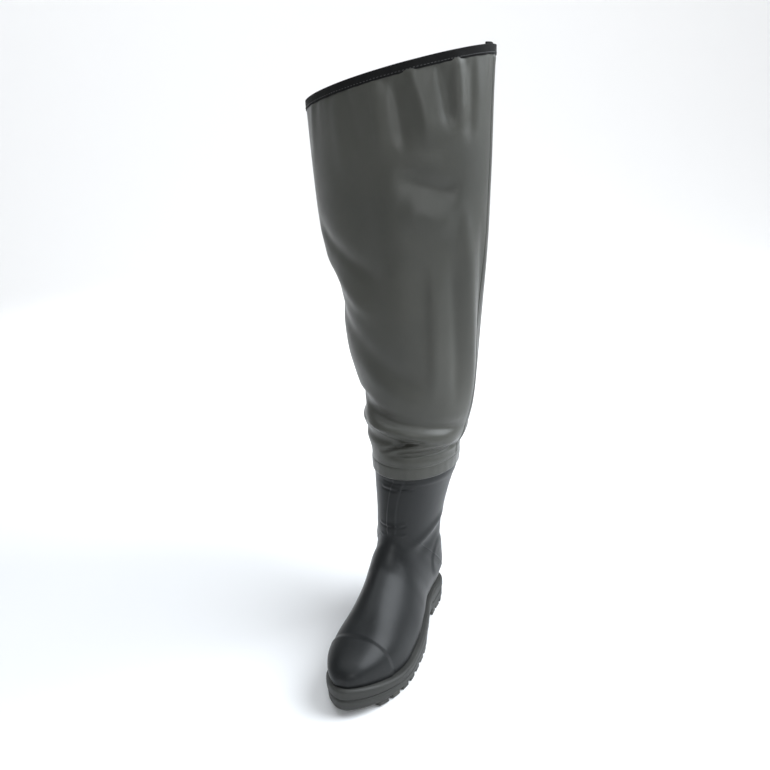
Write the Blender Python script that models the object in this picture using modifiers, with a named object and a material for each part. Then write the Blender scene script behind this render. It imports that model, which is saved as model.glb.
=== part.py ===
"""Hip wader, wearer's left: a moulded rubber boot with a thigh-high leg of coated cloth.

Toe along -Y, lateral side along +X, up along +Z. The origin is the centre of the heel's ground face.
All sizes are in millimetres and become metres where a mesh is made. Every surface is a function of two
parameters: a short table gives its sections, with lengths as shares of the named sizes.
"""

import math

import bmesh
import bpy
import numpy as np

MM = 0.001

# Foot and sole
FOOT_LENGTH = 316.0
HEEL_BACK = 46.0
BALL_WIDTH = 108.0
HEEL_ROUND = 40.0
TOE_ROUND = 104.0
SOLE_FORE = 27.0
SOLE_HEEL = 38.0
TOE_SPRING = 6.0
ARCH_CLEARANCE = 14.0
LUG_DEPTH = 6.0
LUG_LENGTH = 13.0
FORE_PITCH = 20.0
HEEL_PITCH = 18.5
CHANNEL = 5.0
PAD_RADIUS = 13.0
LUG_INSET = 1.4
SIDE_GROOVE = 1.6
LEDGE_LIP = 1.5

# Boot upper
FEATHER_INSET = 6.5
BOOT_WALL = 2.8
SHAFT_RISE = 234.0
CAP_STEP = 1.4
CAP_ROWS = (1.2, 5.95)
CAP_ACROSS = (0.06, 0.94)
SPINE_WIDTH = 15.0
SPINE_ROWS = (14.2, 23.4)
SPINE_STEP = 2.4
GUARD_STEP = 1.6
GUARD_RADIUS = 27.0
GUARD_TALL = 1.15
ANKLE_BACK = -4.2
ANKLE_RISE = 93.0
INSOLE_THICK = 5.0
INSOLE_CLEAR = 1.6

# Leg, its bands and tapes
HEM_OVERLAP = 27.0
CUFF_MARGIN = 7.0
RIM_LOW = 739.0
RIM_HIGH = 792.0
RIM_SWELL = 0.8
THIGH_WIDTH = 256.0
THIGH_DEPTH = 158.0
LEG_WALL = 1.2
HEM_BAND_HEIGHT = 18.0
HEM_BAND_THICK = 1.0
BINDING_HEIGHT = 10.5
BINDING_THICK = 1.1
SEAM_WIDTH = 12.0
SEAM_THICK = 0.8
TAB_WIDTH = 40.0
TAB_DROP = 48.0
TAB_STAND = 5.0
TAB_THICK = 2.4

# Clearances between pieces, and how deep a raised patch is let into its wall
GAP = 0.3
SEAT_GAP = 0.8
LEG_CLEAR = 0.5
EMBED = 2.1

COLUMNS = 36

# Plan of the sole: share of the foot length from the heel back, centre line and half width before the
# ends are rounded, both as shares of the ball width.
SOLE_PLAN = np.array([
    # along  centre  half
    (0.000, -0.032, 0.350),
    (0.136, -0.032, 0.340),
    (0.250, -0.016, 0.338),
    (0.400, 0.070, 0.360),
    (0.530, 0.116, 0.394),
    (0.660, 0.100, 0.436),
    (0.770, 0.056, 0.470),
    (0.857, 0.022, 0.478),
    (0.940, 0.002, 0.452),
    (1.000, -0.006, 0.400),
])

# Side of the sole: share of the foot length, how far its top has climbed from the forefoot's height to
# the heel's, share of the arch clearance under the waist, and share of the toe spring.
SOLE_SIDE = np.array([
    # along  climb  arch   spring
    (0.000, 1.00, 0.00, 0.000),
    (0.140, 0.99, 0.00, 0.000),
    (0.225, 0.93, 0.00, 0.000),
    (0.238, 0.92, 1.00, 0.000),
    (0.400, 0.62, 0.95, 0.000),
    (0.445, 0.48, 0.45, 0.000),
    (0.470, 0.40, 0.00, 0.000),
    (0.560, 0.15, 0.00, 0.000),
    (0.680, 0.00, 0.00, 0.000),
    (0.780, 0.13, 0.00, 0.100),
    (0.880, 0.54, 0.00, 0.390),
    (1.000, 1.00, 0.00, 1.000),
])

# Profile up the sole's edge: share of its height and how far it stands out, in mm of the two side sizes.
EDGE_PROFILE = (
    # up     groove  lip
    (0.00, 1.0, 0.0),
    (0.14, 0.0, 0.0),
    (0.43, 0.0, 0.2),
    (0.48, 0.9, 0.0),
    (0.54, 0.9, 0.0),
    (0.59, 0.0, 0.8),
    (0.90, 0.0, 0.8),
    (1.00, 0.8, 0.0),
)

CUFF_UP = 1 - (HEM_OVERLAP + CUFF_MARGIN) / SHAFT_RISE

# Sections of the boot, from the toe tip over the instep to the top edge. A section is the plane through
# its bottom point, on the feather line or the back line, and its top point, on the ridge of the instep
# and shin. Along is the share of the feather's length from the heel back, up the share of the shaft's
# rise above the feather, bulge and lean are shares of the ball width, and widest is where up the
# section it is widest.
BOOT_SECTIONS = np.array([
    # along   up     top_along  top_up  bulge  widest  round  lean
    (1.000, 0.000, 1.000, 0.000, 0.000, 0.28, 2.5, -0.016),
    (0.994, 0.000, 1.001, 0.020, 0.028, 0.28, 2.5, -0.016),
    (0.983, 0.000, 0.998, 0.048, 0.040, 0.28, 2.5, -0.017),
    (0.962, 0.000, 0.986, 0.082, 0.055, 0.28, 2.5, -0.020),
    (0.929, 0.000, 0.951, 0.124, 0.075, 0.28, 2.5, -0.024),
    (0.878, 0.000, 0.892, 0.166, 0.095, 0.28, 2.45, -0.030),
    (0.806, 0.000, 0.813, 0.213, 0.115, 0.28, 2.3, -0.041),
    (0.718, 0.000, 0.721, 0.258, 0.135, 0.28, 2.1, -0.055),
    (0.626, 0.000, 0.636, 0.300, 0.155, 0.27, 1.95, -0.070),
    (0.531, 0.000, 0.554, 0.345, 0.185, 0.27, 1.88, -0.082),
    (0.439, 0.000, 0.490, 0.386, 0.215, 0.28, 1.85, -0.086),
    (0.337, 0.000, 0.454, 0.427, 0.240, 0.30, 1.85, -0.074),
    (0.235, 0.000, 0.432, 0.461, 0.255, 0.32, 1.9, -0.052),
    (0.133, 0.000, 0.418, 0.487, 0.262, 0.34, 1.9, -0.030),
    (0.058, 0.000, 0.410, 0.517, 0.282, 0.36, 1.95, -0.016),
    (0.014, 0.000, 0.405, 0.543, 0.342, 0.38, 2.0, -0.006),
    (0.000, 0.000, 0.403, 0.556, 0.392, 0.40, 2.0, -0.007),
    (-0.012, 0.060, 0.401, 0.577, 0.392, 0.42, 2.0, -0.008),
    (-0.012, 0.158, 0.398, 0.611, 0.387, 0.44, 2.0, -0.008),
    (-0.009, 0.265, 0.395, 0.654, 0.385, 0.46, 2.0, -0.004),
    (-0.014, 0.372, 0.391, 0.697, 0.396, 0.47, 2.0, 0.008),
    (-0.031, 0.500, 0.388, 0.746, 0.423, 0.48, 2.0, 0.027),
    (-0.053, 0.637, 0.385, 0.795, 0.461, 0.49, 2.0, 0.051),
    (-0.071, 0.765, 0.383, 0.833, 0.500, 0.50, 2.0, 0.080),
    (-0.082, CUFF_UP, 0.382, CUFF_UP, 0.530, 0.50, 2.0, 0.102),
    (-0.092, 1.000, 0.381, 1.000, 0.556, 0.50, 2.0, 0.116),
])
FIRST_CLOSED = 16
CUFF_FOOT = 24
BOOT_TOP = 25
FOOT_STEPS = 23
SHAFT_STEPS = 9

# Sections of the leg above the boot's top edge: share of the way up to the rim, medial and lateral half
# width as shares of half the thigh width, front and back half depth as shares of half the thigh depth,
# and the middle of the section as shares of the same two.
LEG_SECTIONS = np.array([
    # up     medial  lateral  front  back   mid_x  mid_y
    (0.050, 0.515, 0.590, 0.905, 0.900, 0.075, -0.040),
    (0.095, 0.515, 0.650, 0.930, 0.890, 0.070, -0.030),
    (0.130, 0.485, 0.690, 0.905, 0.880, 0.060, -0.010),
    (0.200, 0.560, 0.736, 0.930, 0.900, 0.050, 0.030),
    (0.300, 0.670, 0.785, 0.950, 0.930, 0.040, 0.070),
    (0.400, 0.705, 0.832, 0.965, 0.950, 0.030, 0.120),
    (0.480, 0.715, 0.868, 0.975, 0.960, 0.025, 0.160),
    (0.560, 0.822, 0.898, 0.985, 0.970, 0.020, 0.200),
    (0.630, 0.918, 0.923, 0.990, 0.980, 0.010, 0.230),
    (0.750, 0.960, 0.955, 1.000, 0.990, 0.005, 0.270),
    (0.880, 0.985, 0.980, 1.000, 1.000, 0.000, 0.310),
    (1.000, 1.000, 1.000, 1.000, 1.000, 0.000, 0.340),
])
LEG_ROWS = 13


def through(places, values, at):
    """A smooth curve through the table's points that never swings past them, read at each place."""
    places, values = np.asarray(places, float), np.asarray(values, float)
    steps = np.diff(places)
    slopes = np.diff(values) / steps
    inner = np.where(
        slopes[1:] * slopes[:-1] > 0,
        2 * slopes[1:] * slopes[:-1] / np.where(slopes[1:] + slopes[:-1] == 0, 1, slopes[1:] + slopes[:-1]),
        0,
    )
    tangent = np.concatenate([[slopes[0]], inner, [slopes[-1]]])
    at = np.clip(np.asarray(at, float), places[0], places[-1])
    span = np.clip(np.searchsorted(places, at, side="right") - 1, 0, len(steps) - 1)
    t = (at - places[span]) / steps[span]
    width = steps[span]
    return (
        values[span] * (1 + 2 * t) * (1 - t) ** 2
        + tangent[span] * width * t * (1 - t) ** 2
        + values[span + 1] * t * t * (3 - 2 * t)
        + tangent[span + 1] * width * t * t * (t - 1)
    )


def end_round(distance, length, power=2.2):
    """A superellipse's quarter: nothing at the end, full width from one rounding length on."""
    left = np.clip(1 - distance / length, 0, 1)
    return (1 - left**power) ** (1 / power)


def plan(along, inset):
    """Centre line and half width of the sole's outline, moved in by inset, at a share of its length."""
    length = FOOT_LENGTH - 2 * inset
    centre = through(SOLE_PLAN[:, 0], SOLE_PLAN[:, 1], along) * BALL_WIDTH
    half = through(SOLE_PLAN[:, 0], SOLE_PLAN[:, 2], along) * BALL_WIDTH - inset
    ends = end_round(along * length, HEEL_ROUND) * end_round((1 - along) * length, TOE_ROUND, 2.0)
    return centre, half * np.where((along < 0) | (along > 1), 0, ends)


def plan_y(along, inset):
    return HEEL_BACK - inset - along * (FOOT_LENGTH - 2 * inset)


def side(y):
    """Heights of the sole's ground line, its underside between the lugs and its top, at a place."""
    along = (HEEL_BACK - y) / FOOT_LENGTH
    climb, arch, spring = (through(SOLE_SIDE[:, 0], SOLE_SIDE[:, k], along) for k in (1, 2, 3))
    ground = spring * TOE_SPRING
    under = ground + LUG_DEPTH + arch * (ARCH_CLEARANCE - LUG_DEPTH)
    top = SOLE_FORE + climb * (SOLE_HEEL - SOLE_FORE) + spring * TOE_SPRING
    return ground, under, top


def stations():
    """Shares of the sole's length for its sections: close at both ends and at the heel breast."""
    heel = 1 - np.cos(np.linspace(0, math.pi / 2, 6))
    toe = np.sin(np.linspace(0, math.pi / 2, 9))
    breast, arch_end = SOLE_SIDE[2, 0], SOLE_SIDE[6, 0]
    middle = np.linspace(SOLE_SIDE[3, 0], arch_end, 5)
    return np.concatenate([heel * breast, middle, arch_end + toe[1:] * (1 - arch_end)])


def sole_top(y):
    """Height of the sole's top face, which is flat from one of its sections to the next."""
    places = plan_y(stations(), 0.0)
    return np.interp(y, places[::-1], side(places)[2][::-1])


def section_numbers(rows):
    """The boot table's columns read at fractional row numbers."""
    numbers = np.arange(len(BOOT_SECTIONS))
    return [through(numbers, column, rows) for column in BOOT_SECTIONS.T]


def boot_surface(rows, across):
    """Outer face of the boot. Rows run from the toe tip to the top edge. Across runs 0 to 1, from the
    medial foot or back line, over the ridge, to the lateral side.

    In each section the half width is sqrt(w^2 - bulge^2 (1 - s/widest)^2) below the widest place and a
    superellipse's quarter above it, where s is the share of the way from bottom point to top point."""
    rows, across = np.broadcast_arrays(np.asarray(rows, float), np.asarray(across, float))
    along, up, top_along, top_up, bulge, widest, power, lean = section_numbers(rows)
    bulge, lean = bulge * BALL_WIDTH, lean * BALL_WIDTH
    centre, feather = plan(along, FEATHER_INSET)
    foot_y, top_y = plan_y(along, FEATHER_INSET), plan_y(top_along, FEATHER_INSET)
    base = sole_top(plan_y(np.clip(along, 0, 1), FEATHER_INSET)) + SEAT_GAP
    foot_z, top_z = base + up * SHAFT_RISE, base + top_up * SHAFT_RISE
    full = np.maximum(np.hypot(feather, bulge), 1e-9)
    half_way = 1 - np.abs(2 * across - 1)
    closing = (bulge / full) ** 4
    low = np.clip(half_way / widest, 0, 1)
    fall = (1 - closing) * (1 - low) + closing * np.cos(low * math.pi / 2)
    high = np.clip((half_way - widest) / (1 - widest), 0, 1) * math.pi / 2
    below = np.sqrt(np.maximum(full**2 - (bulge * fall) ** 2, 0))
    above = full * np.maximum(np.cos(high), 0) ** (2 / power)
    half = np.where(half_way < widest, below, above)
    share = np.where(
        half_way < widest, widest * (1 - fall), widest + (1 - widest) * np.sin(high) ** (2 / power)
    )
    foot_x = centre + (lean - centre) * np.clip(up / 0.3, 0, 1)
    x = foot_x + (lean - foot_x) * share + np.sign(across - 0.5) * half
    y = foot_y + (top_y - foot_y) * share
    z = foot_z + (top_z - foot_z) * share
    return np.stack([x, y, z], -1)


def normals_of(surface, rows, across):
    """Outward unit normals of a surface function, from small steps both ways."""
    step = 1e-3
    along_rows = surface(rows + step, across) - surface(rows - step, across)
    over = surface(rows, np.clip(across + step, 0, 1)) - surface(rows, np.clip(across - step, 0, 1))
    cross = np.cross(over, along_rows)
    return cross / np.maximum(np.linalg.norm(cross, axis=-1, keepdims=True), 1e-9)


def cuff_ring(z):
    """The boot's outline at a height between the foot of its cuff and its top edge, as leg columns."""
    across = np.arange(COLUMNS) / COLUMNS
    low, high = boot_surface(CUFF_FOOT, across), boot_surface(BOOT_TOP, across)
    share = (z - low[0, 2]) / (high[0, 2] - low[0, 2])
    return low + (high - low) * share


def ring_out(ring, distance):
    """A closed ring moved out sideways by a distance."""
    tangent = np.roll(ring, -1, 0) - np.roll(ring, 1, 0)
    out = np.stack([-tangent[:, 1], tangent[:, 0], np.zeros(len(ring))], -1)
    return ring - out / np.linalg.norm(out, axis=1, keepdims=True) * distance * ring_turn(ring)


def ring_turn(ring):
    """1 where the ring runs against the clock seen from above, else -1."""
    x, y = ring[:, 0], ring[:, 1]
    return np.sign(np.sum(x * np.roll(y, -1) - y * np.roll(x, -1)))


def leg_ring(up):
    """The leg's outer outline at a share of the way from the boot's top edge to the rim, which slants
    from its low medial side to its high lateral side, fuller there than a straight cut."""
    angle = 2 * math.pi * np.arange(COLUMNS) / COLUMNS
    places = LEG_SECTIONS[:, 0]
    medial, lateral, front, back, mid_x, mid_y = (
        through(places, column, up) for column in LEG_SECTIONS.T[1:]
    )
    sine, cosine = np.sin(angle), np.cos(angle)
    x = THIGH_WIDTH / 2 * (mid_x - np.where(sine > 0, medial, lateral) * sine)
    y = THIGH_DEPTH / 2 * (mid_y + np.where(cosine > 0, back, front) * cosine)
    climb = (0.5 - 0.5 * sine) ** RIM_SWELL
    boot_top = float(boot_surface(BOOT_TOP, 0.0)[2])
    rim = RIM_LOW + (RIM_HIGH - RIM_LOW) * climb
    return np.stack([x, y, boot_top + (rim - boot_top) * up], -1)


def leg_rings():
    """Rings of the leg's outer face, from its hem over the boot's cuff up to the rim."""
    boot_top = float(boot_surface(BOOT_TOP, 0.0)[2])
    fit = LEG_CLEAR + LEG_WALL
    hem = boot_top - HEM_OVERLAP
    heights = (hem, hem + HEM_BAND_HEIGHT, boot_top)
    rings = [ring_out(cuff_ring(z), fit) for z in heights]
    shares = np.concatenate([LEG_SECTIONS[:3, 0], np.linspace(0.165, 1, LEG_ROWS)])
    return np.array(rings + [leg_ring(up) for up in shares])


def mesh_object(name, points, faces, material):
    """A named object from millimetre points, with doubled points merged and its faces smooth."""
    mesh = bpy.data.meshes.new(name)
    mesh.from_pydata((np.asarray(points).reshape(-1, 3) * MM).tolist(), [], faces)
    shape = bmesh.new()
    shape.from_mesh(mesh)
    bmesh.ops.remove_doubles(shape, verts=shape.verts, dist=1e-6)
    shape.to_mesh(mesh)
    shape.free()
    mesh.shade_smooth()
    mesh.set_sharp_from_angle(angle=math.radians(40))
    mesh.materials.append(material)
    piece = bpy.data.objects.new(name, mesh)
    parts.objects.link(piece)
    return piece


def grid_faces(rows, columns, closed_rows=False, closed_columns=False):
    """Quads of a grid of points, row by row."""
    faces = []
    for i in range(rows if closed_rows else rows - 1):
        for j in range(columns if closed_columns else columns - 1):
            below, above = i * columns, (i + 1) % rows * columns
            after = (j + 1) % columns
            faces.append((below + j, below + after, above + after, above + j))
    return faces


def thicken(piece, wall):
    """Gives an outward-facing open surface its wall, inwards."""
    solid = piece.modifiers.new("Wall", "SOLIDIFY")
    solid.thickness = wall * MM
    solid.offset = -1
    solid.use_even_offset = True
    solid.use_quality_normals = True


def fuse(piece, others):
    """Joins raised forms to a piece and hides the forms."""
    for other in others:
        union = piece.modifiers.new(other.name, "BOOLEAN")
        union.operation = "UNION"
        union.solver = "EXACT"
        union.object = other
        other.hide_render = True
        other.display_type = "WIRE"
        parts.objects.unlink(other)
        cutters.objects.link(other)


def principled(name, colour, roughness):
    material = bpy.data.materials.new(name)
    material.use_nodes = True
    shader = material.node_tree.nodes["Principled BSDF"]
    shader.inputs["Base Color"].default_value = (*colour, 1)
    shader.inputs["Roughness"].default_value = roughness
    shader.inputs["Metallic"].default_value = 0
    return material


def make_outsole(material):
    """The sole: its outline carried up the edge profile, closed above and below, with lugs under it."""
    along = stations()
    loops = []
    for up, groove, lip in EDGE_PROFILE:
        inset = groove * SIDE_GROOVE - lip * LEDGE_LIP
        y = plan_y(along, inset)
        centre, half = plan(along, inset)
        _, under, top = side(plan_y(along, 0.0))
        z = under + up * (top - under)
        lateral = np.stack([centre + half, y, z], -1)
        medial = np.stack([centre - half, y, z], -1)
        loops.append(np.concatenate([lateral, medial[-2:0:-1]]))
    loops = np.array(loops)
    count, last = loops.shape[1], len(along) - 1
    faces = [face[::-1] for face in grid_faces(len(loops), count, closed_columns=True)]
    top_first = (len(loops) - 1) * count
    for i in range(last):
        near, far = (count - i) % count, count - i - 1
        faces.append((i, i + 1, far, near) if i else (0, 1, far))
        faces.append(tuple(top_first + k for k in ((near, far, i + 1, i) if i else (far, 1, 0))))
    faces = [tuple(dict.fromkeys(face)) for face in faces]
    sole = mesh_object("outsole", loops, [face for face in faces if len(face) > 2], material)
    fuse(sole, [make_lugs(material)] + [make_pad(name, y, material) for name, y in PADS.items()])
    return sole


# The two flat pads on which the boot stands, at the heel's centre and under the ball
PADS = {"heel_pad": 0.0, "ball_pad": plan_y(0.64, 0.0)}


def lug_ranges():
    """Front and back edge of each pair of lugs, from the heel back to the toe."""
    heel_last = plan_y(SOLE_SIDE[2, 0], 0.0)
    fore_first, toe_last = plan_y(SOLE_SIDE[6, 0], 0.0), plan_y(0.945, 0.0)
    back = HEEL_BACK - 2 * LUG_INSET
    while back - LUG_LENGTH > heel_last - 1:
        yield back, back - LUG_LENGTH
        back -= HEEL_PITCH
    back = fore_first
    while back - LUG_LENGTH > toe_last:
        yield back, back - LUG_LENGTH
        back -= FORE_PITCH


def make_lugs(material):
    """Pairs of lugs that run from the sole's edge to the channel, each one a prism up to the sole."""
    points, faces = [], []
    for back, front in lug_ranges():
        beside = any(abs((back + front) / 2 - y) < PAD_RADIUS + LUG_LENGTH / 2 for y in PADS.values())
        inner = CHANNEL + (PAD_RADIUS if beside else 0)
        y = np.linspace(back, front, 4)
        ground, under, _ = side(y)
        centre, half = plan((HEEL_BACK - LUG_INSET - y) / (FOOT_LENGTH - 2 * LUG_INSET), LUG_INSET)
        for hand in (-1, 1):
            outer = np.maximum(half, inner + LUG_LENGTH / 4)
            first = len(points)
            for z in (ground, under + EMBED):
                points += list(zip(centre + hand * inner, y, z)) + list(zip(centre + hand * outer, y, z))
            ring = [0, 1, 2, 3, 7, 6, 5, 4]
            ring = ring if hand > 0 else ring[::-1]
            for a, b in zip(ring, ring[1:] + ring[:1]):
                faces.append((first + a, first + b, first + 8 + b, first + 8 + a))
            for k in range(3):
                quad = (k, k + 4, k + 5, k + 1) if hand > 0 else (k, k + 1, k + 5, k + 4)
                faces.append(tuple(first + n for n in quad))
                faces.append(tuple(first + 8 + n for n in quad[::-1]))
    return mesh_object("lugs", points, faces, material)


def make_pad(name, y, material):
    _, under, _ = side(np.array(y))
    along = (HEEL_BACK - y) / FOOT_LENGTH
    height = float(under) + EMBED
    shape = bmesh.new()
    bmesh.ops.create_cone(
        shape, cap_ends=True, segments=16, radius1=PAD_RADIUS * MM, radius2=PAD_RADIUS * MM, depth=height * MM
    )
    centre = float(plan(np.array(along), 0.0)[0])
    bmesh.ops.translate(shape, verts=shape.verts, vec=(centre * MM, y * MM, height * MM / 2))
    mesh = bpy.data.meshes.new(name)
    shape.to_mesh(mesh)
    shape.free()
    mesh.materials.append(material)
    pad = bpy.data.objects.new(name, mesh)
    parts.objects.link(pad)
    return pad


def raised_patch(name, rows, across, height, material):
    """A closed slab over part of the boot's outer face, let into the wall below and raised above it.
    Rows and across are grids of the boot's own parameters, and height may change over the patch."""
    base, out = boot_surface(rows, across), normals_of(boot_surface, rows, across)
    height = np.broadcast_to(height, rows.shape)[..., None]
    outer, inner = base + out * height, base - out * EMBED
    count_rows, count = rows.shape
    size = count_rows * count
    faces = grid_faces(count_rows, count)
    faces += [tuple(size + k for k in face[::-1]) for face in grid_faces(count_rows, count)]
    edge = (
        list(range(count))
        + [i * count + count - 1 for i in range(1, count_rows)]
        + [size - 2 - j for j in range(count - 1)]
        + [i * count for i in range(count_rows - 2, 0, -1)]
    )
    for a, b in zip(edge, edge[1:] + edge[:1]):
        faces.append((b, a, size + a, size + b))
    return mesh_object(name, np.concatenate([outer.reshape(-1, 3), inner.reshape(-1, 3)]), faces, material)


def make_toe_cap(material):
    """A slab over the toe, whose back edge lies in one section of the boot."""
    rows, across = np.linspace(*CAP_ROWS, 8)[:, None], np.linspace(*CAP_ACROSS, 23)
    return raised_patch("toe_cap", rows + 0 * across, across + 0 * rows, CAP_STEP, material)


def make_spine(material):
    """A strip down the front of the shaft, as wide all the way."""
    rows = np.linspace(*SPINE_ROWS, 12)[:, None]
    girth = section_numbers(rows)[4] * BALL_WIDTH * math.pi * 2
    across = 0.5 + np.linspace(-0.5, 0.5, 5) * SPINE_WIDTH / girth
    return raised_patch("shin_spine", rows + 0 * across, across, SPINE_STEP, material)


def on_side(y, z, hand):
    """The boot's row and across at a place of its side view, by Newton steps from the ankle."""
    rows = np.full(y.shape, float(FIRST_CLOSED - 1))
    across = np.full(y.shape, 0.5 + hand * 0.33)
    step = 1e-3
    for _ in range(30):
        here = boot_surface(rows, across)
        by_row = (boot_surface(rows + step, across) - here) / step
        by_across = (boot_surface(rows, across + step) - here) / step
        miss_y, miss_z = y - here[..., 1], z - here[..., 2]
        scale = by_row[..., 1] * by_across[..., 2] - by_row[..., 2] * by_across[..., 1]
        row_step = (miss_y * by_across[..., 2] - miss_z * by_across[..., 1]) / scale
        across_step = (miss_z * by_row[..., 1] - miss_y * by_row[..., 2]) / scale
        rows = rows + np.clip(row_step, -0.6, 0.6)
        across = np.clip(across + np.clip(across_step, -0.03, 0.03), 0.01, 0.99)
    return rows, across


def make_guard(name, hand, material):
    """A rounded shield over the ankle bone, on the side that hand gives."""
    turn = np.linspace(0, 2 * math.pi, 25)
    radius = GUARD_RADIUS * np.array([0.0, 0.4, 0.72, 1.0])[:, None]
    y = ANKLE_BACK + radius * np.cos(turn)
    z = ANKLE_RISE + radius * GUARD_TALL * np.sin(turn)
    rows, across = on_side(y, z, hand)
    return disc_patch(name, rows, across, GUARD_STEP, hand, material)


def disc_patch(name, rows, across, height, hand, material):
    """A raised slab whose grid runs from one middle point out to a closed edge."""
    base, out = boot_surface(rows, across), normals_of(boot_surface, rows, across)
    outer, inner = base + out * height, base - out * EMBED
    rings, count = rows.shape
    size = rings * count
    cover = grid_faces(rings, count)
    rim = [(size - count + j, size - count + j + 1) for j in range(count - 1)]
    faces = cover + [tuple(size + k for k in face[::-1]) for face in cover]
    faces += [(a, b, size + b, size + a) for a, b in rim]
    if hand > 0:
        faces = [face[::-1] for face in faces]
    return mesh_object(name, np.concatenate([outer.reshape(-1, 3), inner.reshape(-1, 3)]), faces, material)


def make_boot(material):
    """The moulded boot: one open surface given its wall, with the raised forms fused to it."""
    rows = np.concatenate([
        np.linspace(0, FIRST_CLOSED, FOOT_STEPS + 1),
        np.linspace(FIRST_CLOSED, CUFF_FOOT, SHAFT_STEPS + 1)[1:],
        [BOOT_TOP],
    ])
    across = np.linspace(0, 1, COLUMNS + 1)
    points = boot_surface(rows[:, None], across[None, :])
    boot = mesh_object("boot_upper", points, grid_faces(len(rows), len(across)), material)
    thicken(boot, BOOT_WALL)
    fuse(boot, [
        make_toe_cap(material),
        make_spine(material),
        make_guard("guard_medial", -1, material),
        make_guard("guard_lateral", 1, material),
    ])
    return boot


def make_insole(material):
    """A footbed that follows the sole's top, clear of the boot's wall."""
    inset = FEATHER_INSET + BOOT_WALL + INSOLE_CLEAR
    along = np.concatenate([1 - np.cos(np.linspace(0, math.pi / 2, 7)), 1 + np.sin(np.linspace(0, math.pi / 2, 8))[1:]])
    along = along / 2
    y = plan_y(along, inset)
    centre, half = plan(along, inset)
    top = sole_top(y)
    loops = [
        np.concatenate([
            np.stack([centre + half, y, z], -1),
            np.stack([centre - half, y, z], -1)[-2:0:-1],
        ])
        for z in (top + SEAT_GAP, top + SEAT_GAP + INSOLE_THICK)
    ]
    loops = np.array(loops)
    count = loops.shape[1]
    faces = [face[::-1] for face in grid_faces(2, count, closed_columns=True)]
    for i in range(len(along) - 1):
        near, far = (count - i) % count, count - i - 1
        low = (0, 1, far) if i == 0 else (i, i + 1, far, near)
        low = tuple(dict.fromkeys(low))
        faces += [low, tuple(count + k for k in low[::-1])]
    return mesh_object("insole", loops, faces, material)


def make_leg(material):
    rings = leg_rings()
    faces = grid_faces(len(rings), COLUMNS, closed_columns=True)
    leg = mesh_object("leg", rings, faces, material)
    thicken(leg, LEG_WALL)
    return leg


def make_hem_band(material):
    """A tape round the bottom of the leg."""
    rings = [ring_out(ring, GAP + HEM_BAND_THICK) for ring in leg_rings()[:2]]
    faces = grid_faces(2, COLUMNS, closed_columns=True)
    band = mesh_object("hem_band", np.array(rings), faces, material)
    thicken(band, HEM_BAND_THICK)
    return band


def make_binding(material):
    """A tape folded over the rim: a U section carried round it."""
    rings = leg_rings()
    rim, below = rings[-1], rings[-2]
    down = below - rim
    down = down / np.linalg.norm(down, axis=1, keepdims=True)
    outside, inside = GAP, -LEG_WALL - GAP
    section = (
        (outside + BINDING_THICK, BINDING_HEIGHT),
        (outside, BINDING_HEIGHT),
        (outside, -GAP),
        (inside, -GAP),
        (inside, BINDING_HEIGHT),
        (inside - BINDING_THICK, BINDING_HEIGHT),
        (inside - BINDING_THICK, -GAP - BINDING_THICK),
        (outside + BINDING_THICK, -GAP - BINDING_THICK),
    )
    rows = np.array([ring_out(rim, out) + down * drop for out, drop in section])
    faces = [face[::-1] for face in grid_faces(len(rows), COLUMNS, closed_rows=True, closed_columns=True)]
    return mesh_object("top_binding", rows, faces, material)


def strip_lines(rings, column, width, spans):
    """The lines along a strip on the leg: its two edges and each column line that it spans."""
    lines = [rings[:, (column + k) % COLUMNS] for k in range(-spans, spans + 1)]
    edges = []
    for hand in (-1, 1):
        reach = [rings[:, (column + hand * k) % COLUMNS] for k in range(spans + 2)]
        facets = [np.linalg.norm(b - a, axis=1, keepdims=True) for a, b in zip(reach, reach[1:])]
        left = width / 2 - sum(facets[:-1], np.zeros((len(rings), 1)))
        edges.append(reach[-2] + (reach[-1] - reach[-2]) / facets[-1] * left)
    return np.stack([edges[0], *lines, edges[1]], 1)


def strip_on_leg(name, column, width, thick, lift, spans, rings, material):
    """A flat strip that follows the leg's facets. Lift moves its outer face out from the leg's, and
    spans is how many whole facets it covers on each side of its column."""
    strip = strip_lines(rings, column, width, spans)
    outs = np.array([ring_out(ring, lift)[column] - ring[column] for ring in rings])
    strip = strip + outs[:, None, :]
    piece = mesh_object(name, strip, grid_faces(*strip.shape[:2]), material)
    thicken(piece, thick)
    return piece


def carried(ring, other, distance):
    """A ring's points moved along the lines from another ring to it, past it or short of it."""
    line = ring - other
    return ring + line / np.linalg.norm(line, axis=1, keepdims=True) * distance


def make_seams(material):
    """A taped seam down each side of the leg, between the hem band and the binding."""
    rings = leg_rings()[1:]
    rings[0] = carried(rings[0], rings[1], -2 * GAP)
    rings[-1] = carried(rings[-1], rings[-2], -BINDING_HEIGHT - 2 * GAP)
    for name, column in (("inner_seam", COLUMNS // 4), ("outer_seam", 3 * COLUMNS // 4)):
        strip_on_leg(name, column, SEAM_WIDTH, SEAM_THICK, GAP + SEAM_THICK, 0, rings, material)


def make_belt_tab(material):
    """A doubled webbing tab inside the rim's lateral peak, standing above the binding."""
    rim, below = leg_rings()[-1], leg_rings()[-2]
    rings = np.array([carried(rim, below, -TAB_DROP), carried(rim, below, TAB_STAND)])
    lift = -LEG_WALL - BINDING_THICK - 2 * GAP
    return strip_on_leg("belt_tab", 3 * COLUMNS // 4, TAB_WIDTH, TAB_THICK, lift, 1, rings, material)


for leftover in list(bpy.data.objects):
    bpy.data.objects.remove(leftover, do_unlink=True)
parts = bpy.data.collections.new("hip_wader")
cutters = bpy.data.collections.new("raised_forms")
bpy.context.scene.collection.children.link(parts)
bpy.context.scene.collection.children.link(cutters)

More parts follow.
